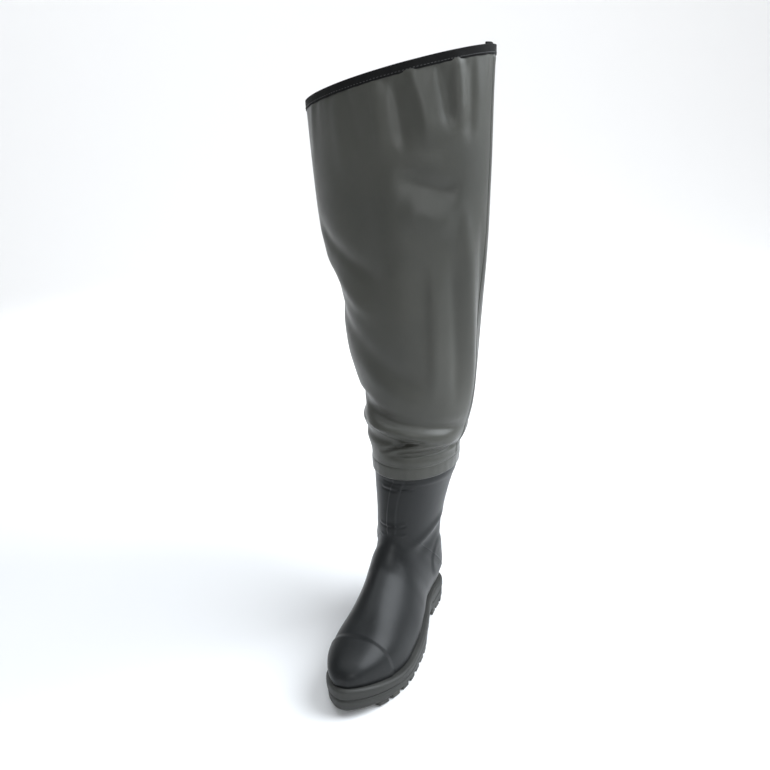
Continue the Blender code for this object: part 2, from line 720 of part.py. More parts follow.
rubber = principled("boot_rubber", (0.028, 0.033, 0.031), 0.38)
tread = principled("sole_rubber", (0.040, 0.043, 0.036), 0.62)
felt = principled("insole_felt", (0.16, 0.16, 0.15), 0.95)
cloth = principled("coated_cloth", (0.058, 0.060, 0.048), 0.5)
tape = principled("black_tape", (0.012, 0.012, 0.012), 0.7)

make_outsole(tread)
make_boot(rubber)
make_insole(felt)
make_leg(cloth)
make_hem_band(cloth)
make_binding(tape)
make_seams(cloth)
make_belt_tab(tape)
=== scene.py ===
"""Looks of a hip wader for the left leg: a moulded rubber boot under a tall leg of coated cloth.

Each new piece is a surface worked out with numpy on a grid, in millimetres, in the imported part's frame:
toe along -Y, outer side of the leg along +X, up along +Z, origin under the middle of the heel.
"""

import math

import bmesh
import bpy
import numpy as np
from mathutils import Matrix, Vector


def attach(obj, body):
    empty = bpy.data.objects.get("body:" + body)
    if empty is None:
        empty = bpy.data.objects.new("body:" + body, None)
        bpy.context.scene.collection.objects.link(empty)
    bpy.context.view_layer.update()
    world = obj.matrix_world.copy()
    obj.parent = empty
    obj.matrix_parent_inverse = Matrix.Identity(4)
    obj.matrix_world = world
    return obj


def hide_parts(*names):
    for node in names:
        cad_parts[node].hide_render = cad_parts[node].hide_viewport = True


MM = 0.001

# Foot and sole. The ball's pad and the last lug are at shares of the foot length.
FOOT_LENGTH = 316.0
HEEL_BACK = 46.0
BALL_WIDTH = 108.0
HEEL_ROUND = 40.0
TOE_ROUND = 104.0
SOLE_FORE = 27.0
SOLE_HEEL = 38.0
TOE_SPRING = 6.0
ARCH_CLEARANCE = 14.0
LUG_DEPTH = 6.0
LUG_LENGTH = 13.0
FORE_PITCH = 20.0
HEEL_PITCH = 18.5
CHANNEL = 5.0
PAD_RADIUS = 13.0
LUG_INSET = 1.4
SIDE_GROOVE = 1.6
LEDGE_LIP = 1.5
LUG_BEVEL = 0.9
BALL_PAD = 0.64
LAST_LUG = 0.945

# Boot upper. The lean rise is the share of its rise over which its middle line moves from the sole's to
# the shaft's.
FEATHER_INSET = 6.5
BOOT_WALL = 2.8
SHAFT_RISE = 234.0
LEAN_RISE = 0.3
INSOLE_THICK = 5.0
INSOLE_CLEAR = 1.6

# Raised forms of the boot's moulding. A row is a place among the numbered sections of the boot, and the
# shaft's girths are given at such rows.
CAP_ROW = 5.95
CAP_SOFT = 0.16
CAP_STEP = 1.4
CAP_BEAD = 0.12
CAP_BEAD_ROW = CAP_ROW - 0.20
CAP_BEAD_WIDTH = 0.12
SPINE_WIDTH = 15.0
SPINE_STEP = 1.4
SPINE_SOFT = 0.9
SPINE_FOOT = (14.0, 15.2)
SPINE_HEAD = (24.0, 24.6)
SHAFT_GIRTHS = ((13, 16, 20, 25), (300, 262, 290, 372))
BAR_HEIGHTS = (156.0, 173.0, 228.0, 240.0)
BAR_REACH = 26.0
BAR_TROUGH = 0.7
BAR_RIDGE = 0.6
BAR_SPACING = 3.8
GUARD_STEP = 1.6
GUARD_RADIUS = 27.0
GUARD_TALL = 1.15
GUARD_SOFT = 3.5
RING_RADII = (12.0, 19.5)
RING_RISE = 0.4
ANKLE_BACK = -4.2
ANKLE_RISE = 93.0
SPUR_TOP = 84.0
SPUR_FOOT = 52.0
SPUR_STEP = 2.2

# Leg, its bands and tapes
HEM_OVERLAP = 27.0
CUFF_MARGIN = 7.0
RIM_LOW = 739.0
RIM_HIGH = 792.0
RIM_SWELL = 0.8
THIGH_WIDTH = 256.0
THIGH_DEPTH = 158.0
LEG_WALL = 1.2
HEM_BAND_HEIGHT = 18.0
HEM_BAND_THICK = 0.85
HEM_RIPPLE = 0.4
BINDING_HEIGHT = 10.5
BINDING_THICK = 1.1
BINDING_WAVES = (17, 31, 44, 61)
BINDING_RIPPLE = 0.5
STITCHES = 176
STITCH_LENGTH = 2.6
STITCH_WIDTH = 0.8
STITCH_INSET = 2.6
SEAM_WIDTH = 12.0
SEAM_THICK = 0.8
SEAM_RIDGE = 0.25
SEAM_HEM_GAP = 0.6
SEAM_RIM_GAP = 0.8
TAPE_SINK = 0.15
TAB_WIDTH = 40.0
TAB_DROP = 48.0
TAB_STAND = 2.5
TAB_THICK = 2.4
TAB_SPREAD = 0.55

# Clearances between pieces, and how deep the lugs are let into the sole
GAP = 0.3
SEAT_GAP = 0.7
LEG_CLEAR = 0.5
EMBED = 1.5

# How many grid lines the surfaces have. A leg's inner face has every fifth row of its outer one.
BOOT_ROWS = 250
BOOT_COLUMNS = 224
SOLE_LEVELS = 34
PAD_SIDES = 40
INSOLE_ROWS = 90
INSOLE_COLUMNS = 64
LEG_LOW_ROWS = 140
LEG_HIGH_ROWS = 160
LEG_COLUMNS = 256
INNER_STEP = 5
BINDING_COLUMNS = 360
HEM_COLUMNS = 300
SEAM_ROWS = 340
SEAM_COLUMNS = 13
TAB_ROWS = 24
TAB_COLUMNS = 24
FLOOR_COLUMNS = 96

# Plan of the sole: share of the foot length from the heel back, centre line and half width before the
# ends are rounded, both as shares of the ball width.
SOLE_PLAN = np.array([
    # along  centre  half
    (0.000, -0.032, 0.350),
    (0.136, -0.032, 0.340),
    (0.250, -0.016, 0.338),
    (0.400, 0.070, 0.360),
    (0.530, 0.116, 0.394),
    (0.660, 0.100, 0.436),
    (0.770, 0.056, 0.470),
    (0.857, 0.022, 0.478),
    (0.940, 0.002, 0.452),
    (1.000, -0.006, 0.400),
])

# Side of the sole: share of the foot length, how far its top has climbed from the forefoot's height to
# the heel's, share of the arch clearance under the waist, and share of the toe spring.
SOLE_SIDE = np.array([
    # along  climb  arch   spring
    (0.000, 1.00, 0.00, 0.000),
    (0.140, 0.99, 0.00, 0.000),
    (0.225, 0.93, 0.00, 0.000),
    (0.238, 0.92, 1.00, 0.000),
    (0.400, 0.62, 0.95, 0.000),
    (0.445, 0.48, 0.45, 0.000),
    (0.470, 0.40, 0.00, 0.000),
    (0.560, 0.15, 0.00, 0.000),
    (0.680, 0.00, 0.00, 0.000),
    (0.780, 0.13, 0.00, 0.100),
    (0.880, 0.54, 0.00, 0.390),
    (1.000, 1.00, 0.00, 1.000),
])

# Profile up the sole's edge: share of its height, then shares of the groove's depth and the lip's reach.
EDGE_PROFILE = np.array([
    # up    groove  lip
    (0.00, 1.3, 0.0),
    (0.04, 0.5, 0.0),
    (0.12, 0.0, 0.0),
    (0.40, 0.0, 0.2),
    (0.44, 0.1, 0.2),
    (0.48, 0.9, 0.0),
    (0.53, 0.9, 0.0),
    (0.56, 0.4, 0.3),
    (0.60, 0.0, 0.8),
    (0.84, 0.0, 0.9),
    (0.92, 0.0, 0.6),
    (0.97, 0.3, 0.0),
    (1.00, 1.2, 0.0),
])

CUFF_UP = 1 - (HEM_OVERLAP + CUFF_MARGIN) / SHAFT_RISE

# Sections of the boot, from the toe tip over the instep to the top edge, as shares of the foot length,
# the shaft's rise and the ball width.
BOOT_SECTIONS = np.array([
    # along   up     top_along  top_up  bulge  widest  round  lean
    (1.000, 0.000, 1.000, 0.000, 0.000, 0.28, 2.5, -0.016),
    (0.994, 0.000, 1.001, 0.020, 0.028, 0.28, 2.5, -0.016),
    (0.983, 0.000, 0.998, 0.048, 0.040, 0.28, 2.5, -0.017),
    (0.962, 0.000, 0.986, 0.082, 0.055, 0.28, 2.5, -0.020),
    (0.929, 0.000, 0.951, 0.124, 0.075, 0.28, 2.5, -0.024),
    (0.878, 0.000, 0.892, 0.166, 0.095, 0.28, 2.45, -0.030),
    (0.806, 0.000, 0.813, 0.213, 0.115, 0.28, 2.3, -0.041),
    (0.718, 0.000, 0.721, 0.258, 0.135, 0.28, 2.1, -0.055),
    (0.626, 0.000, 0.636, 0.300, 0.155, 0.27, 1.95, -0.070),
    (0.531, 0.000, 0.554, 0.345, 0.185, 0.27, 1.88, -0.082),
    (0.439, 0.000, 0.490, 0.386, 0.215, 0.28, 1.85, -0.086),
    (0.337, 0.000, 0.454, 0.427, 0.240, 0.30, 1.85, -0.074),
    (0.235, 0.000, 0.432, 0.461, 0.255, 0.32, 1.9, -0.052),
    (0.133, 0.000, 0.418, 0.487, 0.262, 0.34, 1.9, -0.030),
    (0.058, 0.000, 0.410, 0.517, 0.299, 0.36, 1.95, -0.016),
    (0.014, 0.000, 0.405, 0.543, 0.363, 0.38, 2.0, -0.006),
    (0.000, 0.000, 0.403, 0.556, 0.392, 0.40, 2.0, -0.007),
    (-0.012, 0.060, 0.401, 0.577, 0.392, 0.42, 2.0, -0.008),
    (-0.012, 0.158, 0.398, 0.611, 0.387, 0.44, 2.0, -0.008),
    (-0.009, 0.265, 0.395, 0.654, 0.385, 0.46, 2.0, -0.004),
    (-0.014, 0.372, 0.391, 0.697, 0.396, 0.47, 2.0, 0.008),
    (-0.031, 0.500, 0.388, 0.746, 0.423, 0.48, 2.0, 0.027),
    (-0.053, 0.637, 0.385, 0.795, 0.461, 0.49, 2.0, 0.051),
    (-0.071, 0.765, 0.383, 0.833, 0.500, 0.50, 2.0, 0.080),
    (-0.082, CUFF_UP, 0.382, CUFF_UP, 0.530, 0.50, 2.0, 0.102),
    (-0.092, 1.000, 0.381, 1.000, 0.556, 0.50, 2.0, 0.116),
])

# Numbers of three of these sections: the first that is closed underneath, the cuff's foot, the top edge.
FIRST_CLOSED = 16
CUFF_FOOT = 24
BOOT_TOP = 25

# Creases where the ankle bends: from and to, as places back from the heel's middle and heights, with
# their width and rise in millimetres and the side that they are on.
ANKLE_CREASES = (
    # y      z      y      z     width rise hand
    (16.0, 164.0, -80.0, 136.0, 6.5, 2.4, 1),
    (20.0, 150.0, -72.0, 122.0, 9.0, -2.0, 1),
    (12.0, 160.0, -76.0, 138.0, 6.5, 1.8, -1),
    (16.0, 146.0, -70.0, 124.0, 9.0, -1.8, -1),
)

# Shares of a crease's length between which it rises at each end
CREASE_FADE = (-0.05, 0.3)

# Sections of the leg above the boot's top edge: share of the way up to the rim, medial and lateral half
# width as shares of half the thigh width, front and back half depth as shares of half the thigh depth,
# and the middle of the section as shares of the same two.
LEG_SECTIONS = np.array([
    # up     medial  lateral  front  back   mid_x  mid_y
    (0.050, 0.515, 0.590, 0.905, 0.900, 0.075, -0.040),
    (0.095, 0.515, 0.650, 0.930, 0.890, 0.070, -0.030),
    (0.130, 0.485, 0.690, 0.905, 0.880, 0.060, -0.010),
    (0.200, 0.560, 0.736, 0.930, 0.900, 0.050, 0.030),
    (0.300, 0.670, 0.785, 0.950, 0.930, 0.040, 0.070),
    (0.400, 0.705, 0.832, 0.965, 0.950, 0.030, 0.120),
    (0.480, 0.715, 0.868, 0.975, 0.960, 0.025, 0.160),
    (0.560, 0.822, 0.898, 0.985, 0.970, 0.020, 0.200),
    (0.630, 0.918, 0.923, 0.990, 0.980, 0.010, 0.230),
    (0.750, 0.960, 0.955, 1.000, 0.990, 0.005, 0.270),
    (0.880, 0.985, 0.980, 1.000, 1.000, 0.000, 0.310),
    (1.000, 1.000, 1.000, 1.000, 1.000, 0.000, 0.340),
])

# Folds of the cloth. Turn is the share of the way round from the back over the inner
# side, and height is in shares of the rim's. Bow, width and rise are in millimetres: a trough's rise is
# below nothing, and skew steepens one side of a fold.
FOLDS = np.array([
    # turn   height  turn   height  bow    width  rise  skew
    # The blouse over the boot's edge, in front
    (0.330, 0.452, 0.730, 0.392, -8.0, 8.0, -5.5, 0.3),
    (0.350, 0.428, 0.715, 0.370, -6.0, 8.5, 6.0, 0.4),
    (0.300, 0.388, 0.560, 0.376, -2.0, 7.5, -4.2, 0.3),
    (0.330, 0.409, 0.500, 0.402, -1.0, 2.4, 1.5, 0.0),
    (0.440, 0.354, 0.580, 0.383, 1.5, 3.0, -4.0, 0.4),
    (0.480, 0.350, 0.745, 0.350, 5.0, 3.0, -4.2, 0.4),
    (0.480, 0.362, 0.700, 0.366, 4.5, 4.2, 3.0, 0.0),
    (0.470, 0.343, 0.840, 0.322, 3.0, 5.0, 2.4, 0.0),
    (0.100, 0.458, 0.420, 0.446, 2.0, 7.0, -3.4, -0.3),
    (0.060, 0.415, 0.400, 0.404, 2.0, 12.0, 3.4, 0.0),
    # Upright forms beside the knee
    (0.594, 0.700, 0.604, 0.430, 1.0, 9.0, 3.0, 0.2),
    (0.626, 0.720, 0.668, 0.410, 3.0, 9.0, -3.2, 0.0),
    (0.642, 0.800, 0.728, 0.380, 6.0, 12.0, 4.2, 0.0),
    (0.705, 0.760, 0.760, 0.480, 2.0, 9.0, -2.4, 0.0),
    # Puckers that hang from the rim, in front
    (0.492, 0.990, 0.510, 0.830, 2.0, 8.0, 3.0, 0.2),
    (0.518, 0.990, 0.552, 0.840, 2.0, 8.5, -3.8, 0.2),
    (0.545, 0.995, 0.598, 0.850, 3.0, 9.5, 4.6, 0.2),
    (0.596, 1.005, 0.632, 0.870, 0.0, 8.5, -4.0, 0.2),
    (0.630, 1.010, 0.654, 0.880, 0.0, 9.5, 3.6, 0.0),
    (0.672, 1.010, 0.668, 0.850, 0.0, 9.0, -2.6, 0.0),
    (0.452, 0.970, 0.468, 0.850, 0.0, 9.0, -2.4, 0.0),
    (0.425, 0.960, 0.440, 0.800, 0.0, 11.0, 2.2, 0.0),
    # Broad soft forms of the thigh
    (0.510, 0.822, 0.668, 0.784, -4.0, 15.0, -4.6, 0.0),
    (0.520, 0.770, 0.660, 0.738, -3.0, 17.0, 3.4, 0.0),
    (0.505, 0.860, 0.530, 0.500, 4.0, 22.0, 3.4, 0.0),
    (0.448, 0.900, 0.475, 0.600, 0.0, 24.0, -3.2, 0.0),
    (0.280, 0.762, 0.520, 0.640, -6.0, 13.0, -3.6, 0.2),
    (0.260, 0.715, 0.500, 0.588, -8.0, 15.0, 4.0, 0.2),
    (0.250, 0.645, 0.430, 0.545, -4.0, 13.0, -2.8, 0.0),
    (0.380, 0.570, 0.590, 0.470, -6.0, 16.0, -2.6, 0.0),
    (0.400, 0.520, 0.600, 0.430, -4.0, 14.0, 2.0, 0.0),
    # Back and inner side
    (0.840, 0.474, 1.130, 0.458, 5.0, 8.0, -4.2, 0.4),
    (0.830, 0.432, 1.160, 0.426, 6.0, 9.0, 3.6, 0.3),
    (0.800, 0.395, 1.080, 0.404, 4.0, 7.0, -4.0, 0.4),
    (0.770, 0.372, 1.010, 0.380, 3.0, 7.0, 2.8, 0.0),
    (0.820, 0.358, 1.120, 0.362, -3.0, 4.0, -2.6, 0.4),
    (0.040, 0.378, 0.320, 0.372, 4.0, 5.0, -2.8, 0.3),
    (0.070, 0.392, 0.350, 0.388, 3.0, 6.0, 2.2, 0.0),
    (0.900, 0.628, 1.110, 0.598, 6.0, 10.0, -3.6, 0.4),
    (0.920, 0.590, 1.130, 0.566, 5.0, 10.0, 3.0, 0.0),
    (0.850, 0.576, 1.050, 0.540, 5.0, 9.0, -3.0, 0.4),
    (0.100, 0.648, 0.280, 0.596, 5.0, 10.0, -3.2, 0.4),
    (0.080, 0.606, 0.290, 0.554, 6.0, 12.0, 3.0, 0.2),
    (0.900, 1.000, 0.880, 0.740, 4.0, 14.0, 3.2, 0.0),
    (0.980, 0.970, 0.990, 0.680, 3.0, 15.0, -3.4, 0.0),
    (0.070, 0.950, 0.050, 0.670, 3.0, 14.0, 3.4, 0.0),
    (0.160, 0.940, 0.130, 0.740, 2.0, 12.0, -3.0, 0.0),
    (0.250, 0.930, 0.240, 0.690, 2.0, 15.0, 2.2, 0.0),
    (0.820, 0.990, 0.800, 0.780, 2.0, 11.0, -2.6, 0.0),
])

# The share of a fold's length that each of its ends takes to fade out
FOLD_FADE = 0.3

# Gathers under the binding: how many, and their rise and width before they vary
GATHERS = 44
GATHER_RISE = 1.7
GATHER_WIDTH = 5.0

# Camera, from the photograph: where it stands in metres, which way it faces, how far down it looks and
# its roll in degrees. It is then turned to the middle of the wader, with a lens that fills the view.
CAMERA_PLACE = (0.416, -1.006, 0.723)
CAMERA_FACING = (-0.435, 0.900)
CAMERA_DOWN = 18.7
CAMERA_ROLL = -4.2
CAMERA_AIM = (0.005, -0.085, 0.385)
CAMERA_LENS = 38.0
SENSOR = 36.0
FLOOR_REACH = 3.2
COVE = 2.6

# Lights: name, place, aim and width in metres, power in watts, colour
LIGHTS = (
    ("key", (1.5, 0.4, 1.8), (0.0, -0.05, 0.3), 2.2, 84.0, (0.90, 0.95, 1.0)),
    ("top", (-0.2, -0.3, 2.6), (0.0, -0.05, 0.2), 2.2, 22.0, (0.92, 0.96, 1.0)),
    ("front", (1.0, -2.0, 1.5), (0.0, 0.0, 0.6), 1.0, 12.0, (0.95, 0.98, 1.0)),
    ("backdrop", (-0.3, 0.8, 2.6), (-1.8, 4.6, 1.5), 2.0, 130.0, (1.0, 1.0, 1.0)),
)
SURROUND_COLOUR = (0.93, 0.96, 1.0, 1)
SURROUND_STRENGTH = 0.32


# Curves and outlines that several pieces share


def through(places, values, at):
    """A smooth curve through the table's points that never swings past them, read at each place: a cubic
    whose slope at each point is the harmonic mean of the slopes on its two sides."""
    places, values = np.asarray(places, float), np.asarray(values, float)
    at = np.clip(np.asarray(at, float), places[0], places[-1])
    wide = (-1,) + (1,) * (values.ndim - 1)
    steps = np.diff(places).reshape(wide)
    slopes = np.diff(values, axis=0) / steps
    product, total = slopes[1:] * slopes[:-1], slopes[1:] + slopes[:-1]
    inner = np.where(product > 0, 2 * product / np.where(total == 0, 1, total), 0)
    tangent = np.concatenate([slopes[:1], inner, slopes[-1:]])
    span = np.clip(np.searchsorted(places, at, side="right") - 1, 0, len(places) - 2)
    width = (places[span + 1] - places[span]).reshape(at.shape + (1,) * (values.ndim - 1))
    t = (at - places[span]).reshape(width.shape) / width
    return (
        values[span] * (1 + 2 * t) * (1 - t) ** 2
        + tangent[span] * width * t * (1 - t) ** 2
        + values[span + 1] * t * t * (3 - 2 * t)
        + tangent[span + 1] * width * t * t * (t - 1)
    )


def smooth(value, low, high):
    """Nothing below low, one above high, and a soft step between them."""
    t = np.clip((value - low) / (high - low), 0, 1)
    return t * t * (3 - 2 * t)


def bell(distance, width):
    """A soft ridge's section: one in the middle, falling with the square of the distance."""
    return np.exp(-((distance / width) ** 2))


def end_round(distance, length, power=2.2):
    """A superellipse's quarter: nothing at the end, full width from one rounding length on."""
    left = np.clip(1 - distance / length, 0, 1)
    return (1 - left**power) ** (1 / power)


def plan(along, inset):
    """Centre line and half width of the sole's outline, moved in by inset, at a share of its length."""
    length = FOOT_LENGTH - 2 * inset
    centre = through(SOLE_PLAN[:, 0], SOLE_PLAN[:, 1], along) * BALL_WIDTH
    half = through(SOLE_PLAN[:, 0], SOLE_PLAN[:, 2], along) * BALL_WIDTH - inset
    ends = end_round(along * length, HEEL_ROUND) * end_round((1 - along) * length, TOE_ROUND, 2.0)
    return centre, half * np.where((along < 0) | (along > 1), 0, ends)


def plan_y(along, inset):
    """Place on the Y axis of a share of the sole's length, with its outline moved in by inset."""
    return HEEL_BACK - inset - along * (FOOT_LENGTH - 2 * inset)


def side(y):
    """Heights of the sole's ground line, its underside between the lugs and its top, at a place."""
    along = (HEEL_BACK - y) / FOOT_LENGTH
    climb, arch, spring = (through(SOLE_SIDE[:, 0], SOLE_SIDE[:, k], along) for k in (1, 2, 3))
    ground = spring * TOE_SPRING
    under = ground + LUG_DEPTH + arch * (ARCH_CLEARANCE - LUG_DEPTH)
    top = SOLE_FORE + climb * (SOLE_HEEL - SOLE_FORE) + spring * TOE_SPRING
    return ground, under, top


def boot_surface(rows, across):
    """Outer face of the boot. Rows run from the toe tip to the top edge. Across runs 0 to 1, from the
    medial foot or back line, over the ridge, to the lateral side.

    In each section the half width is sqrt(w^2 - bulge^2 (1 - s/widest)^2) below the widest place and a
    superellipse's quarter above it, where s is the share of the way from bottom point to top point."""
    rows, across = np.broadcast_arrays(np.asarray(rows, float), np.asarray(across, float))
    numbers = np.arange(len(BOOT_SECTIONS))
    read = [through(numbers, column, rows) for column in BOOT_SECTIONS.T]
    along, up, top_along, top_up, bulge, widest, power, lean = read
    bulge, lean = bulge * BALL_WIDTH, lean * BALL_WIDTH
    centre, feather = plan(along, FEATHER_INSET)
    foot_y, top_y = plan_y(along, FEATHER_INSET), plan_y(top_along, FEATHER_INSET)
    base = side(plan_y(np.clip(along, 0, 1), FEATHER_INSET))[2] + SEAT_GAP
    foot_z, top_z = base + up * SHAFT_RISE, base + top_up * SHAFT_RISE
    full = np.maximum(np.hypot(feather, bulge), 1e-9)
    half_way = 1 - np.abs(2 * across - 1)
    closing = (bulge / full) ** 4
    low = np.clip(half_way / widest, 0, 1)
    fall = (1 - closing) * (1 - low) + closing * np.cos(low * math.pi / 2)
    high = np.clip((half_way - widest) / (1 - widest), 0, 1) * math.pi / 2
    below = np.sqrt(np.maximum(full**2 - (bulge * fall) ** 2, 0))
    above = full * np.maximum(np.cos(high), 0) ** (2 / power)
    half = np.where(half_way < widest, below, above)
    share = np.where(
        half_way < widest, widest * (1 - fall), widest + (1 - widest) * np.sin(high) ** (2 / power)
    )
    foot_x = centre + (lean - centre) * np.clip(up / LEAN_RISE, 0, 1)
    x = foot_x + (lean - foot_x) * share + np.sign(across - 0.5) * half
    y = foot_y + (top_y - foot_y) * share
    z = foot_z + (top_z - foot_z) * share
    return np.stack([x, y, z], -1)


def boot_normals(rows, across):
    """Outward unit normals of the boot's face: the cross product of small steps along and across it."""
    step = 1e-3
    along_rows = boot_surface(rows + step, across) - boot_surface(rows - step, across)
    before, after = np.clip(across - step, 0, 1), np.clip(across + step, 0, 1)
    over = boot_surface(rows, after) - boot_surface(rows, before)
    cross = np.cross(over, along_rows)
    return cross / np.maximum(np.linalg.norm(cross, axis=-1, keepdims=True), 1e-9)


def cuff_ring(turn, height):
    """The boot's outline at a height between the foot of its cuff and its top edge."""
    low, high = boot_surface(CUFF_FOOT, turn % 1), boot_surface(BOOT_TOP, turn % 1)
    return low + (high - low) * (height - low[..., 2:]) / (high[..., 2:] - low[..., 2:])


def around_cuff(turn, height, distance):
    """The cuff's outline moved out sideways by a distance."""
    step = 1e-3
    tangent = cuff_ring(turn + step, height) - cuff_ring(turn - step, height)
    out = np.stack([tangent[..., 1], -tangent[..., 0], 0 * turn], -1)
    return cuff_ring(turn, height) + out / np.linalg.norm(out, axis=-1, keepdims=True) * distance


def leg_ring(turn, up):
    """The leg's outline at a share of the way from the boot's top edge to the rim. Each half of it is a
    quarter of an ellipse on either side of its middle, and the rim climbs with the turn's sine."""
    angle = 2 * math.pi * turn
    medial, lateral, front, back, mid_x, mid_y = (
        through(LEG_SECTIONS[:, 0], column, up) for column in LEG_SECTIONS.T[1:]
    )
    sine, cosine = np.sin(angle), np.cos(angle)
    x = THIGH_WIDTH / 2 * (mid_x - np.where(sine > 0, medial, lateral) * sine)
    y = THIGH_DEPTH / 2 * (mid_y + np.where(cosine > 0, back, front) * cosine)
    climb = (0.5 - 0.5 * sine) ** RIM_SWELL
    rim = RIM_LOW + (RIM_HIGH - RIM_LOW) * climb
    return np.stack([x, y, BOOT_EDGE + (rim - BOOT_EDGE) * up], -1)


BOOT_EDGE = float(boot_surface(BOOT_TOP, 0.0)[2])
HEM_HEIGHT = BOOT_EDGE - HEM_OVERLAP


def leg_base(turn, rise):
    """The leg's outer face before its folds: a smooth curve in each column through the cuff's outline
    and the sections above it. Turn and rise are lists, and rise runs 0 to 1 from the hem to the rim."""
    turn, rise = np.asarray(turn, float), np.asarray(rise, float)
    fit = LEG_CLEAR + LEG_WALL
    cuff = [around_cuff(turn, z, fit) for z in np.linspace(HEM_HEIGHT, BOOT_EDGE, 4)]
    # The first three sections at their own heights, then thirteen at even steps up to the rim
    ups = np.concatenate([LEG_SECTIONS[:3, 0], np.linspace(0.165, 1, 13)])
    rings = np.array(cuff + [leg_ring(turn, up) for up in ups])
    places = (rings[:, :, 2].mean(1) - HEM_HEIGHT) / (rings[-1, :, 2].mean() - HEM_HEIGHT)
    return through(places, rings, rise)


def grid_normals(points, wrap):
    """Unit normals of a grid whose columns run round against the clock and whose rows climb."""
    if wrap:
        over = np.roll(points, -1, 1) - np.roll(points, 1, 1)
    else:
        over = np.gradient(points, axis=1)
    cross = np.cross(over, np.gradient(points, axis=0))
    return cross / np.maximum(np.linalg.norm(cross, axis=-1, keepdims=True), 1e-9)


def fold_rise(turn, height, girth):
    """How far the cloth stands out, in millimetres. Each fold is a bell across its own bowed line, which
    fades towards both ends."""
    out = np.zeros(np.broadcast(turn, height).shape)
    for turn_a, height_a, turn_b, height_b, bow, width, rise, skew in FOLDS:
        middle = (turn_a + turn_b) / 2
        near = (turn - middle + 0.5) % 1 - 0.5
        x, y = near * girth, height - (height_a + height_b) / 2 * RIM_HIGH
        run = np.array([(turn_b - turn_a) * girth.mean(), (height_b - height_a) * RIM_HIGH])
        length = np.hypot(*run)
        run = run / length
        along = (x * run[0] + y * run[1]) / length + 0.5
        off = y * run[0] - x * run[1] - bow * 4 * along * (1 - along)
        fade = smooth(along, 0, FOLD_FADE) * smooth(1 - along, 0, FOLD_FADE)
        out += rise * fade * bell(off, width * (1 + skew * np.tanh(off / width)))
    return out


def gather_rise(turn, drop, girth):
    """The puckers under the rim's binding: upright bells that die out as they hang down."""
    draw = np.random.default_rng(7)
    out = np.zeros(np.broadcast(turn, drop).shape)
    for k in range(GATHERS):
        place = (k + draw.uniform(-0.3, 0.3)) / GATHERS
        reach = draw.uniform(14, 46)
        width = GATHER_WIDTH * draw.uniform(0.7, 1.5)
        lean = draw.uniform(-0.25, 0.25)
        rise = GATHER_RISE * draw.uniform(0.35, 1.2)
        off = ((turn - place + 0.5) % 1 - 0.5) * girth - lean * drop
        out += rise * bell(off, width * (1 + drop / reach / 2)) * np.exp(-drop / reach)
    return out


def leg_face(turn, rise):
    """The leg's outer face with its folds: the base moved out along its own normals. Nothing moves under
    the binding and the hem tape, and no trough reaches into the boot's cuff."""
    base = leg_base(turn, rise)
    out = grid_normals(base, False)
    rim = base[-1:, :, 2] if rise[-1] == 1 else leg_base(turn, np.array([1.0]))[:, :, 2]
    drop = np.maximum(rim - base[:, :, 2], 0)
    girth = np.interp(base[:, :, 2], *GIRTHS)
    lift = fold_rise(turn[None, :], base[..., 2], girth)
    lift += gather_rise(turn[None, :], np.maximum(drop - BINDING_HEIGHT, 0), girth)
    lift = lift * smooth(drop, 0, BINDING_HEIGHT + 3)
    snug = smooth(base[..., 2], BOOT_EDGE - 2, BOOT_EDGE + 8)
    lift = np.maximum(lift, 0) + np.minimum(lift, 0) * snug
    lift = lift * smooth(base[..., 2], HEM_HEIGHT + HEM_BAND_HEIGHT - 4, BOOT_EDGE + 4)
    return base + out * lift[..., None]


def girth_table():
    """Heights of 60 sections of the leg and the way round each of them."""
    turn = np.arange(180) / 180
    rows = leg_base(turn, np.linspace(0, 1, 60))
    around = np.linalg.norm(np.roll(rows, -1, 1) - rows, axis=-1).sum(1)
    return rows[..., 2].mean(1), around


GIRTHS = girth_table()


# Meshes and materials


def quads(rows, columns, closed_rows=False, closed_columns=False, flip=False):
    """Corner numbers of a grid's faces. Unflipped, they face outwards where columns run against the
    clock and rows climb."""
    i = np.arange(rows if closed_rows else rows - 1)[:, None]
    j = np.arange(columns if closed_columns else columns - 1)[None, :]
    low, high, after = i * columns, (i + 1) % rows * columns, (j + 1) % columns
    faces = np.stack([low + j, low + after, high + after, high + j], -1).reshape(-1, 4)
    return faces[:, ::-1] if flip else faces


def put(name, points, faces, material, replaced=(), sharp=None, uv=None):
    """A finished piece from millimetre points: doubled points merged, faces smooth, riding on the part."""
    mesh = bpy.data.meshes.new(name)
    faces = faces.tolist() if isinstance(faces, np.ndarray) else faces
    mesh.from_pydata((np.asarray(points, float).reshape(-1, 3) * MM).tolist(), [], faces)
    if uv is not None:
        layer = mesh.uv_layers.new(name="UVMap")
        corners = np.empty(len(mesh.loops), np.int32)
        mesh.loops.foreach_get("vertex_index", corners)
        layer.data.foreach_set("uv", (np.asarray(uv, float).reshape(-1, 2)[corners] * MM).ravel())
    shape = bmesh.new()
    shape.from_mesh(mesh)
    bmesh.ops.remove_doubles(shape, verts=shape.verts, dist=1e-6)
    shape.to_mesh(mesh)
    shape.free()
    mesh.shade_smooth()
    if sharp:
        mesh.set_sharp_from_angle(angle=math.radians(sharp))
    mesh.materials.append(material)
    piece = bpy.data.objects.new(name, mesh)
    bpy.context.scene.collection.objects.link(piece)
    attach(piece, "root")
    if replaced:
        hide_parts(*replaced)
    return piece


